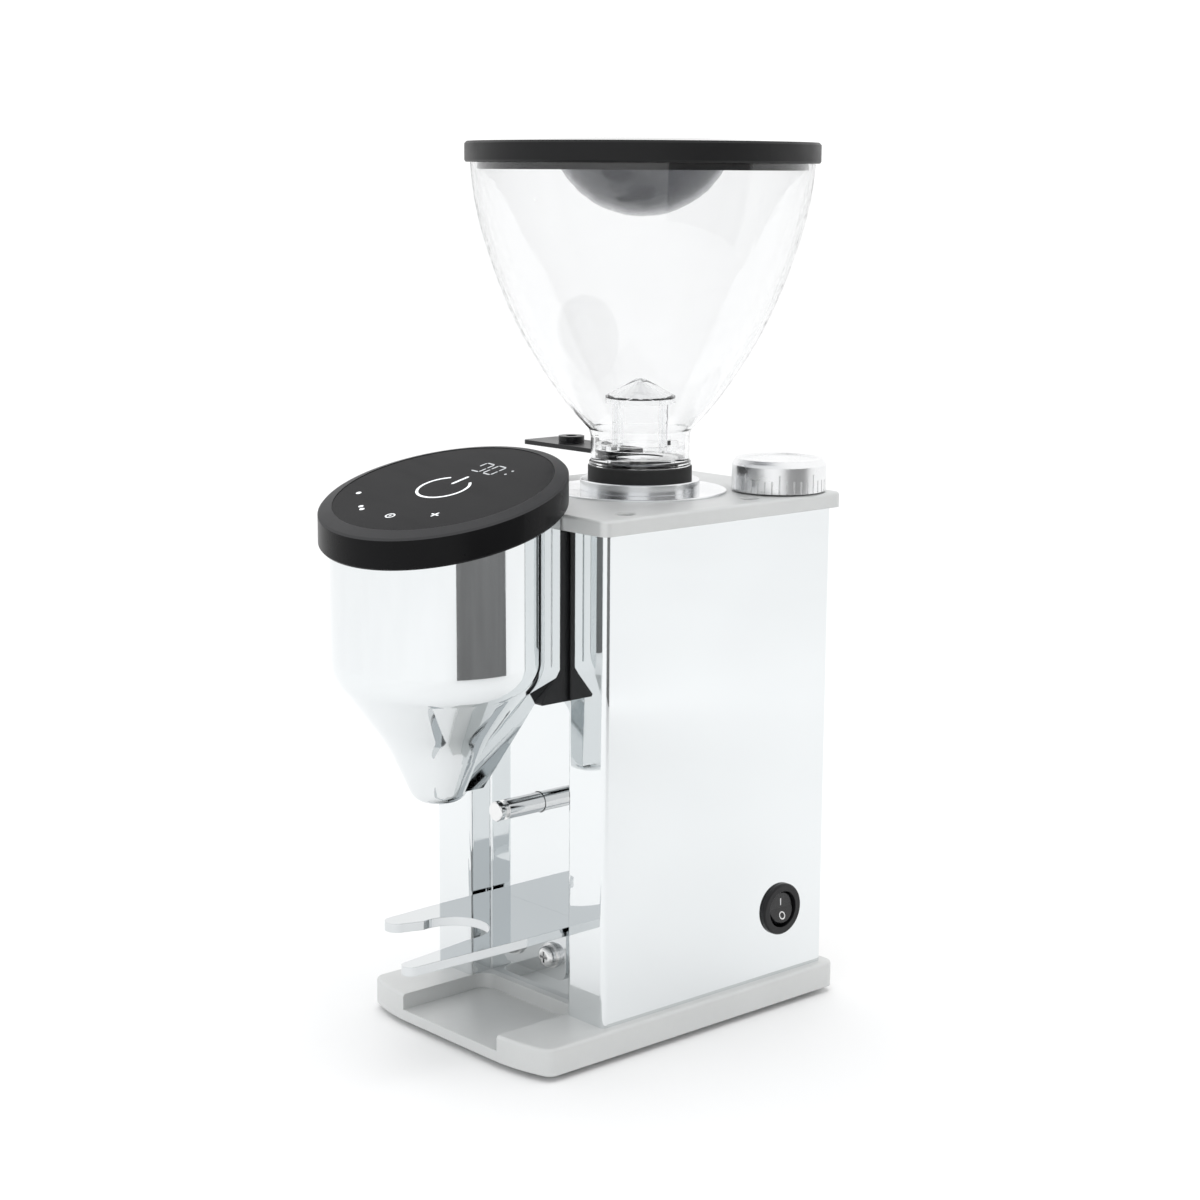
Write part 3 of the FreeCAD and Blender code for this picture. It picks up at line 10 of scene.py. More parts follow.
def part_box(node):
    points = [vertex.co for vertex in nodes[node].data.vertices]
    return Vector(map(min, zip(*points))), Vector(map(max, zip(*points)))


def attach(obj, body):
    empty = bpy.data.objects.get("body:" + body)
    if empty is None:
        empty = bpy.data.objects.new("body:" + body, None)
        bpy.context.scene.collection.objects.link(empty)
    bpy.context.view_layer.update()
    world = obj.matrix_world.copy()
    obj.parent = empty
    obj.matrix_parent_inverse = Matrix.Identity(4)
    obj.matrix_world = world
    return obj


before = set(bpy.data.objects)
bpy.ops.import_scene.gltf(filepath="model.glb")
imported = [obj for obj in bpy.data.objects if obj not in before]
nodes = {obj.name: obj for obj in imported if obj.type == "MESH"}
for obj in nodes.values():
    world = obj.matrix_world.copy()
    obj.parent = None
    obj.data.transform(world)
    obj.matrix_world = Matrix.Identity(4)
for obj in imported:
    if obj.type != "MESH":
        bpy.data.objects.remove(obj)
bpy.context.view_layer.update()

DISPLAY_TILT = math.tan(math.radians(14.0))  # rise of the display towards its back
DISPLAY_LEAN = math.tan(math.radians(3.6))  # fall of the display towards +X
CHUTE_MIDDLE = -0.0727  # Y of the chute's middle, metres
STUDIO_LIGHT = 1.13  # strength of the studio's own light
FRONT_DIM = (0.83, 0.84, 0.85)  # the studio's colour on the side that the grinder faces
GRAIN_STRENGTH = 0.4
POLISH_RIPPLE = 0.5
MARK_LIFT = 0.02  # millimetres between a mark and the face that carries it
LIT_MARK = 0.06  # thickness of the power sign, millimetres
THIN_MARK = 0.05  # thickness of the other marks, millimetres


# ---- node trees ----------------------------------------------------------------------------------
class Look:
    """Builds one procedural material node by node."""

    def __init__(self, name):
        self.material = bpy.data.materials.new(name)
        self.material.use_nodes = True
        self.tree = self.material.node_tree
        self.tree.nodes.clear()
        self.output = self.tree.nodes.new("ShaderNodeOutputMaterial")
        self.shader = self.tree.nodes.new("ShaderNodeBsdfPrincipled")
        self.tree.links.new(self.shader.outputs[0], self.output.inputs["Surface"])
        self.place = self.tree.nodes.new("ShaderNodeTexCoord").outputs["Object"]

    def link(self, source, target):
        self.tree.links.new(source, target)

    def math(self, operation, first, second=0.0, third=None, clamp=False):
        node = self.tree.nodes.new("ShaderNodeMath")
        node.operation = operation
        node.use_clamp = clamp
        for socket, value in zip(node.inputs, (first, second, third)):
            if value is None:
                continue
            if isinstance(value, (int, float)):
                socket.default_value = value
            else:
                self.link(value, socket)
        return node.outputs[0]

    def ramp(self, value, low, high, out_low=0.0, out_high=1.0):
        node = self.tree.nodes.new("ShaderNodeMapRange")
        node.interpolation_type = "SMOOTHSTEP"
        self.link(value, node.inputs["Value"])
        ends = (("From Min", low), ("From Max", high), ("To Min", out_low), ("To Max", out_high))
        for key, number in ends:
            node.inputs[key].default_value = number
        return node.outputs["Result"]

    def noise(self, scale, detail=3.0, roughness=0.55, stretch=(1, 1, 1), source=None, distortion=0.0):
        mapping = self.tree.nodes.new("ShaderNodeMapping")
        mapping.inputs["Scale"].default_value = stretch
        self.link(source or self.place, mapping.inputs["Vector"])
        node = self.tree.nodes.new("ShaderNodeTexNoise")
        node.inputs["Scale"].default_value = scale
        node.inputs["Detail"].default_value = detail
        node.inputs["Roughness"].default_value = roughness
        node.inputs["Distortion"].default_value = distortion
        self.link(mapping.outputs[0], node.inputs["Vector"])
        return node.outputs["Fac"]

    def cells(self, scale):
        node = self.tree.nodes.new("ShaderNodeTexVoronoi")
        node.inputs["Scale"].default_value = scale
        self.link(self.place, node.inputs["Vector"])
        return node.outputs["Distance"]

    def radius_from(self, centre, axis="Z"):
        """Distance of the shaded point from an axis through centre, in metres."""
        shift = self.tree.nodes.new("ShaderNodeVectorMath")
        shift.operation = "SUBTRACT"
        shift.inputs[1].default_value = centre
        self.link(self.place, shift.inputs[0])
        flat = self.tree.nodes.new("ShaderNodeVectorMath")
        flat.operation = "MULTIPLY"
        flat.inputs[1].default_value = [0.0 if name == axis else 1.0 for name in "XYZ"]
        self.link(shift.outputs[0], flat.inputs[0])
        length = self.tree.nodes.new("ShaderNodeVectorMath")
        length.operation = "LENGTH"
        self.link(flat.outputs[0], length.inputs[0])
        return length.outputs["Value"]

    def line_noise(self, value, scale, detail=2.0):
        """Noise that varies only with one number, such as a radius: the lathe lines on a turned face."""
        node = self.tree.nodes.new("ShaderNodeTexNoise")
        node.noise_dimensions = "1D"
        node.inputs["Scale"].default_value = scale
        node.inputs["Detail"].default_value = detail
        self.link(value, node.inputs["W"])
        return node.outputs["Fac"]

    def tint(self, factor, dark, light):
        node = self.tree.nodes.new("ShaderNodeMix")
        node.data_type = "RGBA"
        self.link(factor, node.inputs["Factor"])
        node.inputs["A"].default_value = (*dark, 1.0)
        node.inputs["B"].default_value = (*light, 1.0)
        return node.outputs["Result"]

    def blend_colour(self, factor, colour, other):
        node = self.tree.nodes.new("ShaderNodeMix")
        node.data_type = "RGBA"
        self.link(factor, node.inputs["Factor"])
        self.link(colour, node.inputs["A"])
        node.inputs["B"].default_value = (*other, 1.0)
        return node.outputs["Result"]

    def soft_edges(self, radius):
        """(normal rounded over sharp edges, mask that is 1 on those edges)."""
        bevel = self.tree.nodes.new("ShaderNodeBevel")
        bevel.samples = 4
        bevel.inputs["Radius"].default_value = radius
        geometry = self.tree.nodes.new("ShaderNodeNewGeometry")
        dot = self.tree.nodes.new("ShaderNodeVectorMath")
        dot.operation = "DOT_PRODUCT"
        self.link(bevel.outputs[0], dot.inputs[0])
        self.link(geometry.outputs["Normal"], dot.inputs[1])
        return bevel.outputs[0], self.ramp(dot.outputs["Value"], 0.995, 0.9)

    def bump(self, height, strength, distance, normal=None):
        node = self.tree.nodes.new("ShaderNodeBump")
        node.inputs["Strength"].default_value = strength
        node.inputs["Distance"].default_value = distance
        self.link(height, node.inputs["Height"])
        if normal is not None:
            self.link(normal, node.inputs["Normal"])
        return node.outputs[0]

    def set(self, **values):
        names = {"metallic": "Metallic", "ior": "IOR", "transmission": "Transmission Weight",
                 "coat": "Coat Weight", "coat_roughness": "Coat Roughness",
                 "specular": "Specular IOR Level", "anisotropic": "Anisotropic",
                 "sheen": "Sheen Weight", "emission": "Emission Strength"}
        for key, value in values.items():
            self.shader.inputs[names[key]].default_value = value

    def colour(self, socket):
        self.link(socket, self.shader.inputs["Base Color"])

    def roughness(self, socket):
        self.link(socket, self.shader.inputs["Roughness"])

    def normal(self, socket):
        self.link(socket, self.shader.inputs["Normal"])


def shade(colour, factor):
    return tuple(min(1.0, channel * factor) for channel in colour)


def finish_look(look, colour, rough, spread, grain, depth, edge, worn, drift):
    """Shared ending: colour drift, uneven roughness, surface grain, rounded and slightly worn edges."""
    slow = look.noise(14, 2)
    fine = look.noise(230, 3)
    blend = look.math("MULTIPLY_ADD", slow, 0.7, look.math("MULTIPLY", fine, 0.3))
    tone = look.tint(look.ramp(blend, 0.3, 0.7), shade(colour, 1 - drift), shade(colour, 1 + drift))
    normal, rim = look.soft_edges(edge)
    patchy = look.ramp(look.noise(420, 3), 0.42, 0.62)
    bare = look.math("MULTIPLY", rim, look.math("MULTIPLY", patchy, 0.55))
    look.colour(look.blend_colour(bare, tone, worn))
    handled = look.noise(38, 4, 0.6)
    value = look.ramp(handled, 0.3, 0.72, max(0.0, rough - spread), rough + spread)
    look.roughness(look.math("SUBTRACT", value, look.math("MULTIPLY", rim, 0.05), clamp=True))
    look.normal(look.bump(grain, GRAIN_STRENGTH, depth, normal))
    return look.material


def polished(name, colour, rough):
    """Mirror-polished sheet: faint polishing lines, hairline scratches, a slow ripple, smudges and a
    painted highlight along its edges.
    """
    look = Look(name)
    look.set(metallic=1.0, specular=0.5)
    lines = look.noise(260, 2, 0.5, (1, 1, 0.04))
    hair = look.ramp(look.noise(90, 2, 0.5, (9, 9, 0.25), distortion=0.3), 0.70, 0.78)
    wave = look.noise(9, 1)
    smudge = look.ramp(look.noise(22, 4, 0.65), 0.52, 0.75, 0.0, 0.07)
    tone = look.tint(look.ramp(look.noise(7, 2), 0.3, 0.7), shade(colour, 0.975), shade(colour, 1.015))
    normal, rim = look.soft_edges(0.0004)
    # painted highlight: the colour is lightened by 5 % along the rounded edges
    look.colour(look.blend_colour(look.math("MULTIPLY", rim, 0.35), tone, shade(colour, 1.05)))
    rough_value = look.math("ADD", look.ramp(lines, 0.3, 0.7, rough, rough + 0.025), smudge)
    look.roughness(look.math("ADD", rough_value, look.math("MULTIPLY", hair, 0.05)))
    height = look.math("ADD", look.math("MULTIPLY", wave, POLISH_RIPPLE), look.math("MULTIPLY", hair, 0.01))
    look.normal(look.bump(height, 0.25, 0.0004, normal))
    return look.material


def brushed(name, colour, rough, direction=(1, 60, 1)):
    """Metal brushed in one direction."""
    look = Look(name)
    look.set(metallic=1.0)
    grain = look.noise(34, 4, 0.6, direction)
    return finish_look(look, colour, rough, 0.07, grain, 0.00006, 0.0004, shade(colour, 1.2), 0.04)


def turned(name, colour, rough, centre, axis="Z"):
    """Metal turned on a lathe: fine rings around its axis."""
    look = Look(name)
    look.set(metallic=1.0, anisotropic=0.4)
    rings = look.line_noise(look.radius_from(centre, axis), 2600, 3)
    return finish_look(look, colour, rough, 0.05, rings, 0.00004, 0.0004, shade(colour, 1.2), 0.03)


def cast(name, colour, rough):
    """Blasted or cast metal with a fine pitted skin."""
    look = Look(name)
    look.set(metallic=1.0)
    skin = look.math("ADD", look.noise(900, 4), look.math("MULTIPLY", look.cells(700), 0.6))
    return finish_look(look, colour, rough, 0.08, skin, 0.00012, 0.0006, shade(colour, 1.25), 0.07)


def powder(name, colour, rough):
    """Powder coat with a metallic flake: a slight orange-peel texture."""
    look = Look(name)
    look.set(metallic=0.25, specular=0.4, coat=0.12, coat_roughness=0.35)
    peel = look.math("ADD", look.noise(620, 2), look.math("MULTIPLY", look.noise(2600, 1), 0.5))
    return finish_look(look, colour, rough, 0.05, peel, 0.00007, 0.0005, shade(colour, 0.93), 0.02)


def moulded(name, colour, rough, gloss=0.0, grain_size=1500, depth=0.00006, shine=0.3):
    """Moulded plastic with a fine spark-eroded grain."""
    look = Look(name)
    look.set(specular=shine, coat=gloss, coat_roughness=0.06)
    fine, cells = look.noise(grain_size, 2), look.cells(grain_size * 0.6)
    grain = look.math("ADD", fine, look.math("MULTIPLY", cells, 0.5))
    lighter = tuple(channel * 1.5 + 0.02 for channel in colour)
    return finish_look(look, colour, rough, 0.06, grain, depth, 0.0004, lighter, 0.08)


def ring_with_painted_reflection(name, colour, bevel):
    """Glossy black plastic whose upward-facing bevel is painted paler: a painted reflection of the bright
    studio above, not a finish of its own.
    """
    look = Look(name)
    look.set(specular=0.10)
    split = look.tree.nodes.new("ShaderNodeSeparateXYZ")
    look.link(look.place.node.outputs["Normal"], split.inputs[0])
    upward = look.ramp(split.outputs["Z"], 0.3, 0.6)
    slow = look.noise(16, 3)
    tone = look.tint(look.ramp(slow, 0.3, 0.7), shade(colour, 0.85), shade(colour, 1.15))
    # painted reflection: where the bevel faces up, the colour is lightened towards the pale bevel colour
    painted_reflection_mask = look.math("MULTIPLY", upward, look.ramp(slow, 0.2, 0.8, 0.85, 1.0))
    look.colour(look.blend_colour(painted_reflection_mask, tone, bevel))
    handled = look.ramp(look.noise(40, 3), 0.3, 0.7, 0.24, 0.32)
    look.roughness(look.math("ADD", handled, look.math("MULTIPLY", upward, 0.2)))
    normal, _ = look.soft_edges(0.0004)
    look.normal(look.bump(look.noise(2200, 2), 0.2, 0.00002, normal))
    return look.material


def rubbery(name, colour):
    """Dull rubber with a coarse grain."""
    look = Look(name)
    look.set(specular=0.3, sheen=0.08)
    grain = look.math("ADD", look.noise(1100, 3), look.math("MULTIPLY", look.cells(500), 0.4))
    return finish_look(look, colour, 0.72, 0.08, grain, 0.00010, 0.0006, shade(colour, 1.6), 0.12)


def see_through(name, colour, rough, ior, scuffs, density, shadow):
    """Clear or smoked plastic: faint moulding flow, fine scuffs, painted shade darkening it where it turns
    edge-on, and light let through behind it.
    """
    look = Look(name)
    look.set(transmission=1.0, ior=ior, specular=0.5)
    flow = look.noise(11, 2, 0.5, (1, 1, 0.35))
    tone = look.tint(look.ramp(flow, 0.3, 0.7), shade(colour, 0.985), colour)
    # painted shade: the colour darkens towards 60 % of its tone where the surface is seen edge-on
    facing = look.tree.nodes.new("ShaderNodeLayerWeight").outputs["Facing"]
    look.colour(look.blend_colour(look.math("POWER", facing, 5.0), tone, shade(colour, 0.6)))
    scuff = look.ramp(look.noise(140, 3, 0.6, (1, 1, 0.12), distortion=0.4), 0.66, 0.78, 0.0, scuffs)
    look.roughness(look.math("ADD", look.ramp(look.noise(30, 3), 0.3, 0.7, rough, rough + 0.012), scuff))
    look.normal(look.bump(look.math("ADD", flow, look.math("MULTIPLY", scuff, 0.05)), 0.08, 0.0004))
    if density:
        depth = look.tree.nodes.new("ShaderNodeVolumeAbsorption")
        depth.inputs["Color"].default_value = (0.90, 0.905, 0.91, 1.0)
        depth.inputs["Density"].default_value = density
        look.link(depth.outputs[0], look.output.inputs["Volume"])
    clear = look.tree.nodes.new("ShaderNodeBsdfTransparent")
    clear.inputs["Color"].default_value = (*shadow, 1.0)
    path = look.tree.nodes.new("ShaderNodeLightPath")
    mix = look.tree.nodes.new("ShaderNodeMixShader")
    ray = look.math("MAXIMUM", path.outputs["Is Shadow Ray"], path.outputs["Is Diffuse Ray"])
    look.link(ray, mix.inputs[0])
    look.link(look.shader.outputs[0], mix.inputs[1])
    look.link(clear.outputs[0], mix.inputs[2])
    look.link(mix.outputs[0], look.output.inputs["Surface"])
    return look.material


def cover_glass(name):
    """Black printed cover glass: deep colour under a clear face, a trace of dust and wiped streaks."""
    look = Look(name)
    look.set(specular=0.025)
    slow = look.ramp(look.noise(18, 3), 0.3, 0.7)
    tone = look.tint(slow, (0.009, 0.009, 0.010), (0.013, 0.013, 0.014))
    dust = look.ramp(look.cells(420), 0.05, 0.0, 0.0, 0.12)
    look.colour(look.blend_colour(dust, tone, (0.3, 0.3, 0.3)))
    wiped = look.noise(30, 3, 0.6, (1, 6, 1), distortion=0.6)
    look.roughness(look.ramp(wiped, 0.35, 0.7, 0.16, 0.27))
    look.normal(look.bump(wiped, 0.05, 0.0002))
    return look.material


def glowing(name, colour, strength):
    """Marks that give off a faint light of their own, slightly uneven in brightness: the display's marks
    under the cover glass, and a painted glow on the rocker's printed signs.
    """
    look = Look(name)
    tone = look.tint(look.ramp(look.noise(600, 2), 0.3, 0.7), shade(colour, 0.82), colour)
    look.colour(tone)
    look.link(tone, look.shader.inputs["Emission Color"])
    look.set(emission=strength, specular=0.2)
    look.roughness(look.ramp(look.noise(300, 2), 0.3, 0.7, 0.35, 0.5))
    look.normal(look.bump(look.noise(2000, 1), 0.1, 0.00003))
    return look.material


def board(name):
    """Green circuit board with faint tracks under the mask."""
    look = Look(name)
    look.set(specular=0.5, coat=0.3, coat_roughness=0.2)
    tracks = look.ramp(look.noise(300, 1, 0.3, (1, 0.1, 1)), 0.48, 0.52)
    tone = look.tint(tracks, (0.012, 0.07, 0.03), (0.03, 0.13, 0.06))
    look.colour(tone)
    look.roughness(look.ramp(look.noise(80, 2), 0.3, 0.7, 0.3, 0.45))
    look.normal(look.bump(tracks, 0.4, 0.00005))
    return look.material


# points on the axes that the turned parts were turned about
HOPPER = (0.0, 0.04325, 0.0)
PIN = (0.0, 0.0, 0.102)
low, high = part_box("grind_knob")
KNOB = ((low.x + high.x) / 2, (low.y + high.y) / 2, 0.0)

BLACK = (0.010, 0.010, 0.011)
looks = {
    "mirror": polished("stainless_mirror_look", (0.79, 0.812, 0.82), 0.02),
    "fork": polished("fork_steel_look", (0.67, 0.69, 0.70), 0.03),
    "rear": brushed("stainless_satin_look", (0.66, 0.66, 0.655), 0.30, (60, 1, 1)),
    "plates": powder("plate_paint_look", (0.66, 0.67, 0.665), 0.42),
    "cast": cast("cast_aluminium_look", (0.56, 0.57, 0.58), 0.42),
    "collar": turned("turned_aluminium_look", (0.80, 0.81, 0.82), 0.20, HOPPER),
    "knob": turned("knob_aluminium_look", (0.84, 0.845, 0.85), 0.27, KNOB),
    "black": moulded("black_plastic_look", BLACK, 0.36),
    "lid_black": moulded("lid_rim_look", (0.009, 0.009, 0.0095), 0.45, 0.0, 1200, 0.00006, 0.22),
    # the ring's second colour is its painted reflection, laid on the upward-facing bevel
    "gloss": ring_with_painted_reflection("display_ring_look", (0.006, 0.006, 0.0065), (0.055, 0.055, 0.057)),
    "rocker": moulded("rocker_look", BLACK, 0.28, 0.15, 2200, 0.00002, 0.4),
    "clear": see_through("clear_plastic_look", (0.992, 0.994, 0.995), 0.0, 1.41, 0.02, 45,
                         (0.95, 0.95, 0.95)),
    "smoked": see_through("smoked_plastic_look", (0.20, 0.205, 0.22), 0.02, 1.49, 0.004, 0,
                          (0.6, 0.6, 0.62)),
    "glass": cover_glass("display_glass_look"),
    "rubber": rubbery("rubber_look", (0.018, 0.018, 0.018)),
    "zinc": cast("zinc_steel_look", (0.60, 0.61, 0.63), 0.30),
    "screw": turned("stainless_screw_look", (0.74, 0.74, 0.74), 0.17, (0.0, 0.0, 0.0)),
    "pin": turned("polished_pin_look", (0.80, 0.80, 0.80), 0.10, PIN, "Y"),
    "tool": turned("tool_steel_look", (0.36, 0.36, 0.37), 0.28, HOPPER),
    "laminations": brushed("motor_laminations_look", (0.23, 0.24, 0.26), 0.45, (1, 1, 90)),
    "copper": brushed("copper_windings_look", (0.60, 0.27, 0.11), 0.30, (1, 1, 40)),
    "bearing": polished("bearing_steel_look", (0.70, 0.71, 0.73), 0.08),
    "brass": turned("brass_look", (0.75, 0.58, 0.27), 0.22, HOPPER),
    "board": board("circuit_board_look"),
    "white": moulded("white_plastic_look", (0.74, 0.74, 0.72), 0.40),
    "grey": moulded("grey_plastic_look", (0.20, 0.20, 0.21), 0.42),
    "ribbon": moulded("ribbon_look", (0.45, 0.45, 0.46), 0.40),
    "lead": moulded("lead_sleeve_look", (0.36, 0.03, 0.02), 0.38),
    "spring": turned("spring_steel_look", (0.55, 0.55, 0.57), 0.22, PIN, "Y"),
}

wearing = {
    "mirror": ["body_shell", "chute_shell"],
    "fork": ["fork"],
    "rear": ["rear_cover"],
    "plates": ["base_plate", "top_plate"],
    "cast": ["grinding_chamber", "adjusting_ring", "motor_housing", "motor_end_cap"],
    "collar": ["burr_flange", "hopper_collar", "upper_burr_carrier", "lower_burr_carrier"],
    "knob": ["grind_knob"],
    "black": ["power_inlet", "rocker_housing", "chute_gasket", "gate_slide"],
    "lid_black": ["lid_ring"],
    "gloss": ["display_ring"],
    "rocker": ["rocker"],
    "clear": ["hopper_bowl", "finger_guard"],
    "smoked": ["lid_dish"],
    "glass": ["display_glass"],
    "rubber": ["rubber_feet", "hopper_seal"],
    "zinc": ["base_screws", "chamber_posts", "upper_burr_screws", "lower_burr_screws",
             "motor_screws", "switch_bracket", "chute_screws"],
    "screw": ["rear_cover_screws", "top_plate_screws", "fork_screws", "motor_shaft", "knob_shaft"],
    "pin": ["activation_pin"],
    "tool": ["upper_burr", "lower_burr"],
    "laminations": ["motor_rotor", "motor_stator"],
    "copper": ["motor_windings"],
    "bearing": ["motor_bearings"],
    "brass": ["burr_nut", "knob_bush"],
    "board": ["display_board", "control_board"],
    "white": ["pin_bush", "microswitch_plunger", "coffee_duct", "capacitor"],
    "grey": ["cooling_fan", "microswitch"],
    "ribbon": ["display_cable"],
    "lead": ["mains_leads"],
    "spring": ["pin_spring"],
}
for look_name, members in wearing.items():
    for member in members:
        for slot in nodes[member].material_slots:
            slot.material = looks[look_name]


# ---- marks ---------------------------------------------------------------------------------------
def mark_object(name, outlines, to_space, lift, thickness, look, body):
    """Thin raised marks: each outline is a ring of plan points, extruded by thickness."""
    mesh = bmesh.new()
    for outline in outlines:
        lower = [mesh.verts.new(to_space(u, v, lift)) for u, v in outline]
        upper = [mesh.verts.new(to_space(u, v, lift + thickness)) for u, v in outline]
        mesh.faces.new(upper)
        mesh.faces.new(list(reversed(lower)))
        count = len(outline)
        for k in range(count):
            mesh.faces.new((lower[k], lower[(k + 1) % count], upper[(k + 1) % count], upper[k]))
    bmesh.ops.recalc_face_normals(mesh, faces=mesh.faces)
    data = bpy.data.meshes.new(name)
    mesh.to_mesh(data)
    mesh.free()
    data.materials.append(look)
    piece = bpy.data.objects.new(name, data)
    bpy.context.scene.collection.objects.link(piece)
    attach(piece, body)


def band(cx, cy, radius, width, start, end, steps=48):
    """Quads along an arc, angles in degrees."""
    quads = []
    for k in range(steps):
        a, b = (math.radians(start + (end - start) * (k + d) / steps) for d in (0, 1))
        inner, outer = radius - width / 2, radius + width / 2
        corners = ((inner, a), (outer, a), (outer, b), (inner, b))
        quads.append([(cx + r * math.cos(t), cy + r * math.sin(t)) for r, t in corners])
    return quads


def bar(cx, cy, length, width, angle=0.0):
    """A short stroke with pointed ends, like a segment of a numeric display."""
    c, s = math.cos(math.radians(angle)), math.sin(math.radians(angle))
    half, w = length / 2, width / 2
    ends = [(-half, 0), (-half + w, -w), (half - w, -w), (half, 0), (half - w, w), (-half + w, w)]
    return [(cx + x * c - y * s, cy + x * s + y * c) for x, y in ends]


def dot(cx, cy, radius, steps=20):
    """A filled circle."""
    angles = [2 * math.pi * k / steps for k in range(steps)]
    return [(cx + radius * math.cos(a), cy + radius * math.sin(a)) for a in angles]


def digit(cx, cy, segments, height=9.0, width=5.0):
    """A numeric-display digit; segments are letters a to g."""
    places = {"a": (0, height / 2, 0), "d": (0, -height / 2, 0), "g": (0, 0, 0),
              "b": (width / 2, height / 4, 90), "c": (width / 2, -height / 4, 90),
              "f": (-width / 2, height / 4, 90), "e": (-width / 2, -height / 4, 90)}
    strokes = []
    for segment in segments:
        x, y, angle = places[segment]
        length = (width if angle == 0 else height / 2) - 0.5
        strokes.append(bar(cx + x, cy + y, length, 0.8, angle))
    return strokes


low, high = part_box("display_glass")
GLASS_CENTRE = ((low.x + high.x) / 2, (low.y + high.y) / 2, (low.z + high.z) / 2 + 0.0010)


def on_display(u, v, lift):
    """A point of the display's face, from millimetres to the right of and behind its middle."""
    x, y = u / 1000, v / 1000
    height = GLASS_CENTRE[2] + y * DISPLAY_TILT - x * DISPLAY_LEAN
    return (GLASS_CENTRE[0] + x, GLASS_CENTRE[1] + y, height + lift / 1000)


lit = glowing("display_marks_look", (0.88, 0.90, 0.92), 0.55)
faint = glowing("touch_marks_look", (0.62, 0.64, 0.66), 0.25)
power_sign = band(0, 0, 11.2, 1.2, -235, 55) + [bar(0, 9.0, 9.6, 1.4, 90)]
mark_object("display_power_sign", power_sign, on_display, MARK_LIFT, LIT_MARK, lit, "case")
digits = digit(-3.2, 24, "abcdf") + digit(4.6, 24, "abcdef")
mark_object("display_digits", digits, on_display, MARK_LIFT, THIN_MARK, faint, "case")
unit_dots = [dot(13, 27, 0.6), dot(13, 23, 0.6)]
mark_object("display_unit_dots", unit_dots, on_display, MARK_LIFT, THIN_MARK, faint, "case")
touch = [dot(-30, -22, 1.2), dot(-15.5, -31.4, 1.1), dot(-12.4, -33.2, 1.1)]
touch += band(5.5, -32, 1.9, 0.6, 0, 360, 20) + [bar(5.5, -32, 1.8, 0.6, 90)]
touch += [bar(22.5, -22, 4.6, 0.8, 0), bar(22.5, -22, 4.6, 0.8, 90)]
mark_object("touch_marks", touch, on_display, MARK_LIFT, THIN_MARK, lit, "case")

# the rocker's printed signs follow its folded face
low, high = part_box("rocker")
ROCKER = Vector((0.0546, (low.y + high.y) / 2, (low.z + high.z) / 2))  # on the rocker's axis
ROCKER_REST = math.radians(-9.0)
ROCKER_FOLD = math.tan(math.radians(9.0))
FOLD_OUT = 3.6  # the fold's distance from the axis, millimetres


def on_rocker(u, v, lift):
    """A point of the rocker's face: u along its fold, v above it, in millimetres."""
    out = FOLD_OUT / 1000 + abs(v) / 1000 * ROCKER_FOLD + lift / 1000
    up = v / 1000
    x = out * math.cos(ROCKER_REST) + up * math.sin(ROCKER_REST)
    z = -out * math.sin(ROCKER_REST) + up * math.cos(ROCKER_REST)
    return (ROCKER.x + x, ROCKER.y + u / 1000, ROCKER.z + z)


# painted glow: the rocker's printed signs give off a faint light, though no lamp lights them
sign_print_with_painted_glow = glowing("rocker_signs_look", (0.78, 0.78, 0.78), 0.15)
signs = [bar(0, 2.7, 3.4, 0.6, 90)] + band(0, -3.7, 1.6, 0.55, 0, 360, 24)
mark_object("rocker_signs", signs, on_rocker, MARK_LIFT, THIN_MARK, sign_print_with_painted_glow, "rocker")


# ---- stage ---------------------------------------------------------------------------------------
def studio_mesh(name, points, faces, look):
    """A plain mesh for the studio round the grinder."""
    data = bpy.data.meshes.new(name)
    data.from_pydata(points, [], faces)
    data.materials.append(look)
    piece = bpy.data.objects.new(name, data)
    bpy.context.scene.collection.objects.link(piece)
    return piece


def floor_look():
    """Matt white paper."""
    look = Look("studio_floor_look")
    tone = look.tint(look.ramp(look.noise(3, 2), 0.3, 0.7), (0.95, 0.95, 0.95), (0.97, 0.97, 0.97))
    look.colour(tone)
    look.roughness(look.ramp(look.noise(40, 2), 0.3, 0.7, 0.75, 0.85))
    look.set(specular=0.15)
    return look.material


FLOOR_HALF = 60  # metres
floor_corners = [(FLOOR_HALF * x, FLOOR_HALF * y, 0) for x, y in ((-1, -1), (1, -1), (1, 1), (-1, 1))]
plane = studio_mesh("studio_floor", floor_corners, [(0, 1, 2, 3)], floor_look())


def world_look():
    """An even white studio, a little dimmer on the side that the grinder faces."""
    world = bpy.data.worlds.new("studio")
    bpy.context.scene.world = world
    world.use_nodes = True
    tree = world.node_tree
    tree.nodes.clear()
    output = tree.nodes.new("ShaderNodeOutputWorld")
    background = tree.nodes.new("ShaderNodeBackground")
    coords = tree.nodes.new("ShaderNodeTexCoord")
    split = tree.nodes.new("ShaderNodeSeparateXYZ")
    tree.links.new(coords.outputs["Generated"], split.inputs[0])
    front = tree.nodes.new("ShaderNodeMapRange")
    front.interpolation_type = "SMOOTHSTEP"
    front.inputs["From Min"].default_value = -0.26
    front.inputs["From Max"].default_value = -0.44
    tree.links.new(split.outputs["Y"], front.inputs["Value"])
    sky = tree.nodes.new("ShaderNodeMix")
    sky.data_type = "RGBA"
    tree.links.new(front.outputs["Result"], sky.inputs["Factor"])
    sky.inputs["A"].default_value = (1.0, 1.0, 1.0, 1.0)
    sky.inputs["B"].default_value = (*FRONT_DIM, 1.0)
    tree.links.new(sky.outputs["Result"], background.inputs["Color"])
    background.inputs["Strength"].default_value = STUDIO_LIGHT
    tree.links.new(background.outputs[0], output.inputs["Surface"])


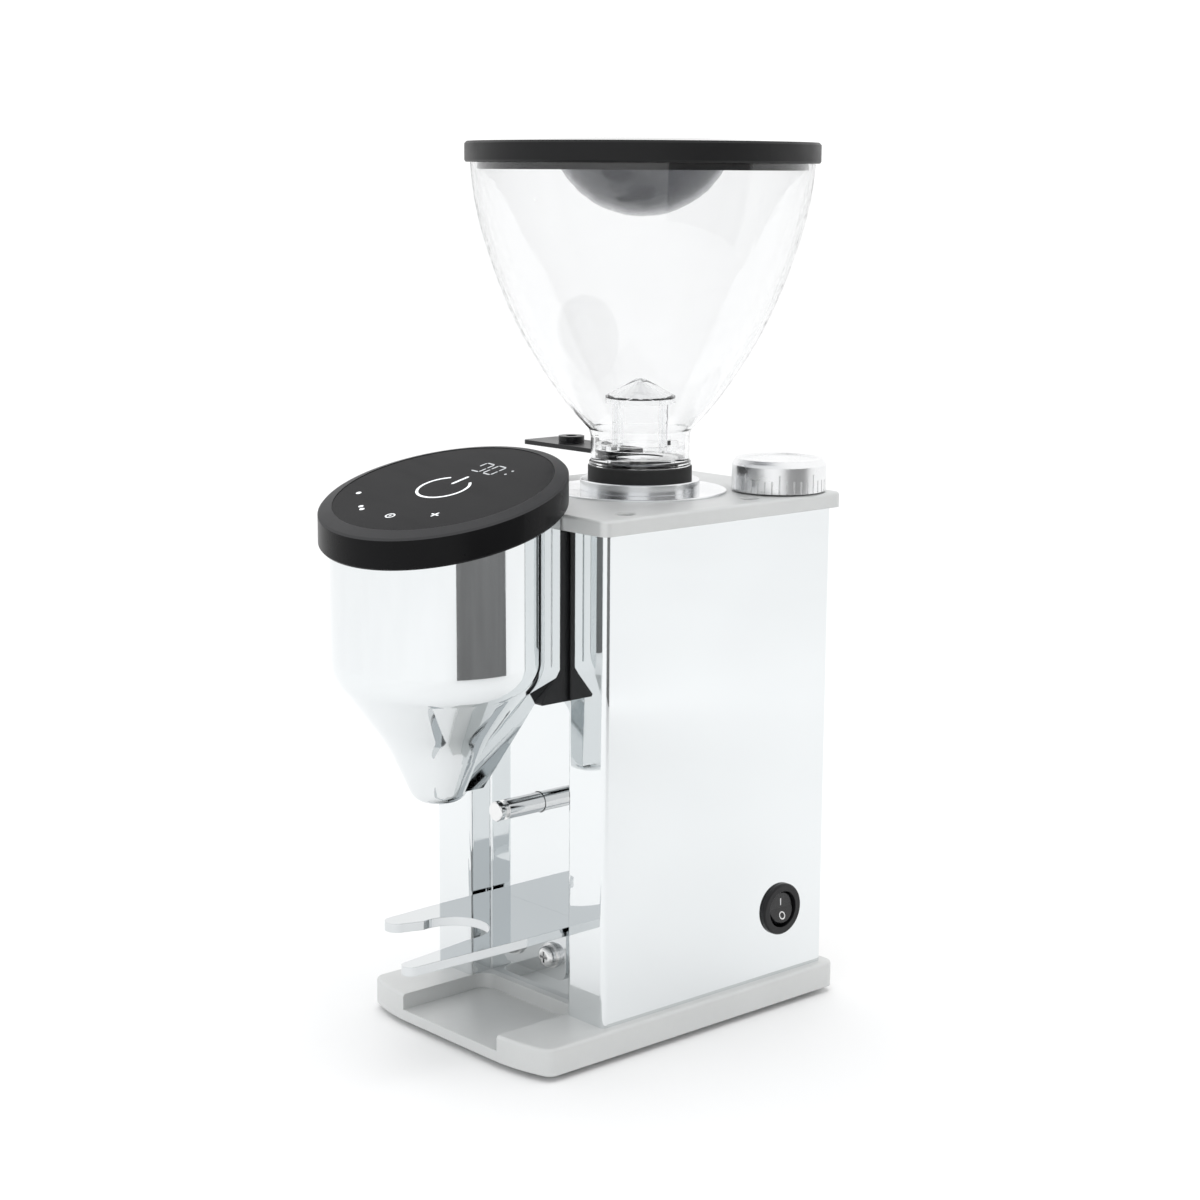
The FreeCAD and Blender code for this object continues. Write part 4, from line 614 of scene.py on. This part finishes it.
def card_look(name, grey):
    """A matt grey screen."""
    look = Look(name)
    slow = look.ramp(look.noise(5, 2), 0.3, 0.7)
    look.colour(look.tint(slow, (grey * 0.9,) * 3, (grey * 1.08,) * 3))
    look.roughness(look.ramp(look.noise(40, 2), 0.3, 0.7, 0.7, 0.8))
    look.set(specular=0.1)
    return look.material


def standing_card(name, start, end, distance, height, grey, steps=12):
    """A curved screen on the floor round the chute, between two compass directions in degrees."""
    points = []
    for k in range(steps + 1):
        angle = math.radians(start + (end - start) * k / steps)
        x, y = distance * math.cos(angle), CHUTE_MIDDLE + distance * math.sin(angle)
        points += [(x, y, 0.0), (x, y, height)]
    faces = [(2 * k, 2 * k + 2, 2 * k + 3, 2 * k + 1) for k in range(steps)]
    card = studio_mesh(name, points, faces, card_look(name + "_look", grey))


world_look()
standing_card("grey_screen_right", -18.5, 37.5, 0.75, 0.45, 0.21)


def soft_light(name, place, target, size, power):
    """A rectangular lamp that polished faces don't mirror."""
    data = bpy.data.lights.new(name, "AREA")
    data.shape = "RECTANGLE"
    data.size, data.size_y = size
    data.energy = power
    light = bpy.data.objects.new(name, data)
    light.location = place
    light.rotation_euler = (Vector(target) - Vector(place)).to_track_quat("-Z", "Y").to_euler()
    bpy.context.scene.collection.objects.link(light)
    light.visible_glossy = False


soft_light("top_light", (0.2, -0.2, 1.9), (0, 0, 0.1), (1.8, 1.8), 9)


# ---- camera --------------------------------------------------------------------------------------
CAMERA_PLACE = (0.76626, -0.66709, 0.3795)
CAMERA_TURN = (48.136, 10.477, 0.337)  # yaw, pitch and roll, degrees
LENS, SENSOR = 69.885, 36.0  # millimetres


def add_camera():
    """The photograph's view, solved from the outlines of the case and its fittings."""
    yaw, pitch, roll = (math.radians(a) for a in CAMERA_TURN)
    forward = Vector((-math.sin(yaw) * math.cos(pitch), math.cos(yaw) * math.cos(pitch), -math.sin(pitch)))
    level_right = Vector((math.cos(yaw), math.sin(yaw), 0.0))
    level_up = level_right.cross(forward)
    right = level_right * math.cos(roll) + level_up * math.sin(roll)
    up = level_up * math.cos(roll) - level_right * math.sin(roll)
    data = bpy.data.cameras.new("camera")
    data.lens = LENS
    data.sensor_width = SENSOR
    data.clip_start = 0.01
    camera = bpy.data.objects.new("camera", data)
    rows = [(right[k], up[k], -forward[k], CAMERA_PLACE[k]) for k in range(3)]
    camera.matrix_world = Matrix([*rows, (0, 0, 0, 1)])
    bpy.context.scene.collection.objects.link(camera)
    bpy.context.scene.camera = camera


add_camera()
bpy.context.scene.view_settings.view_transform = "Standard"
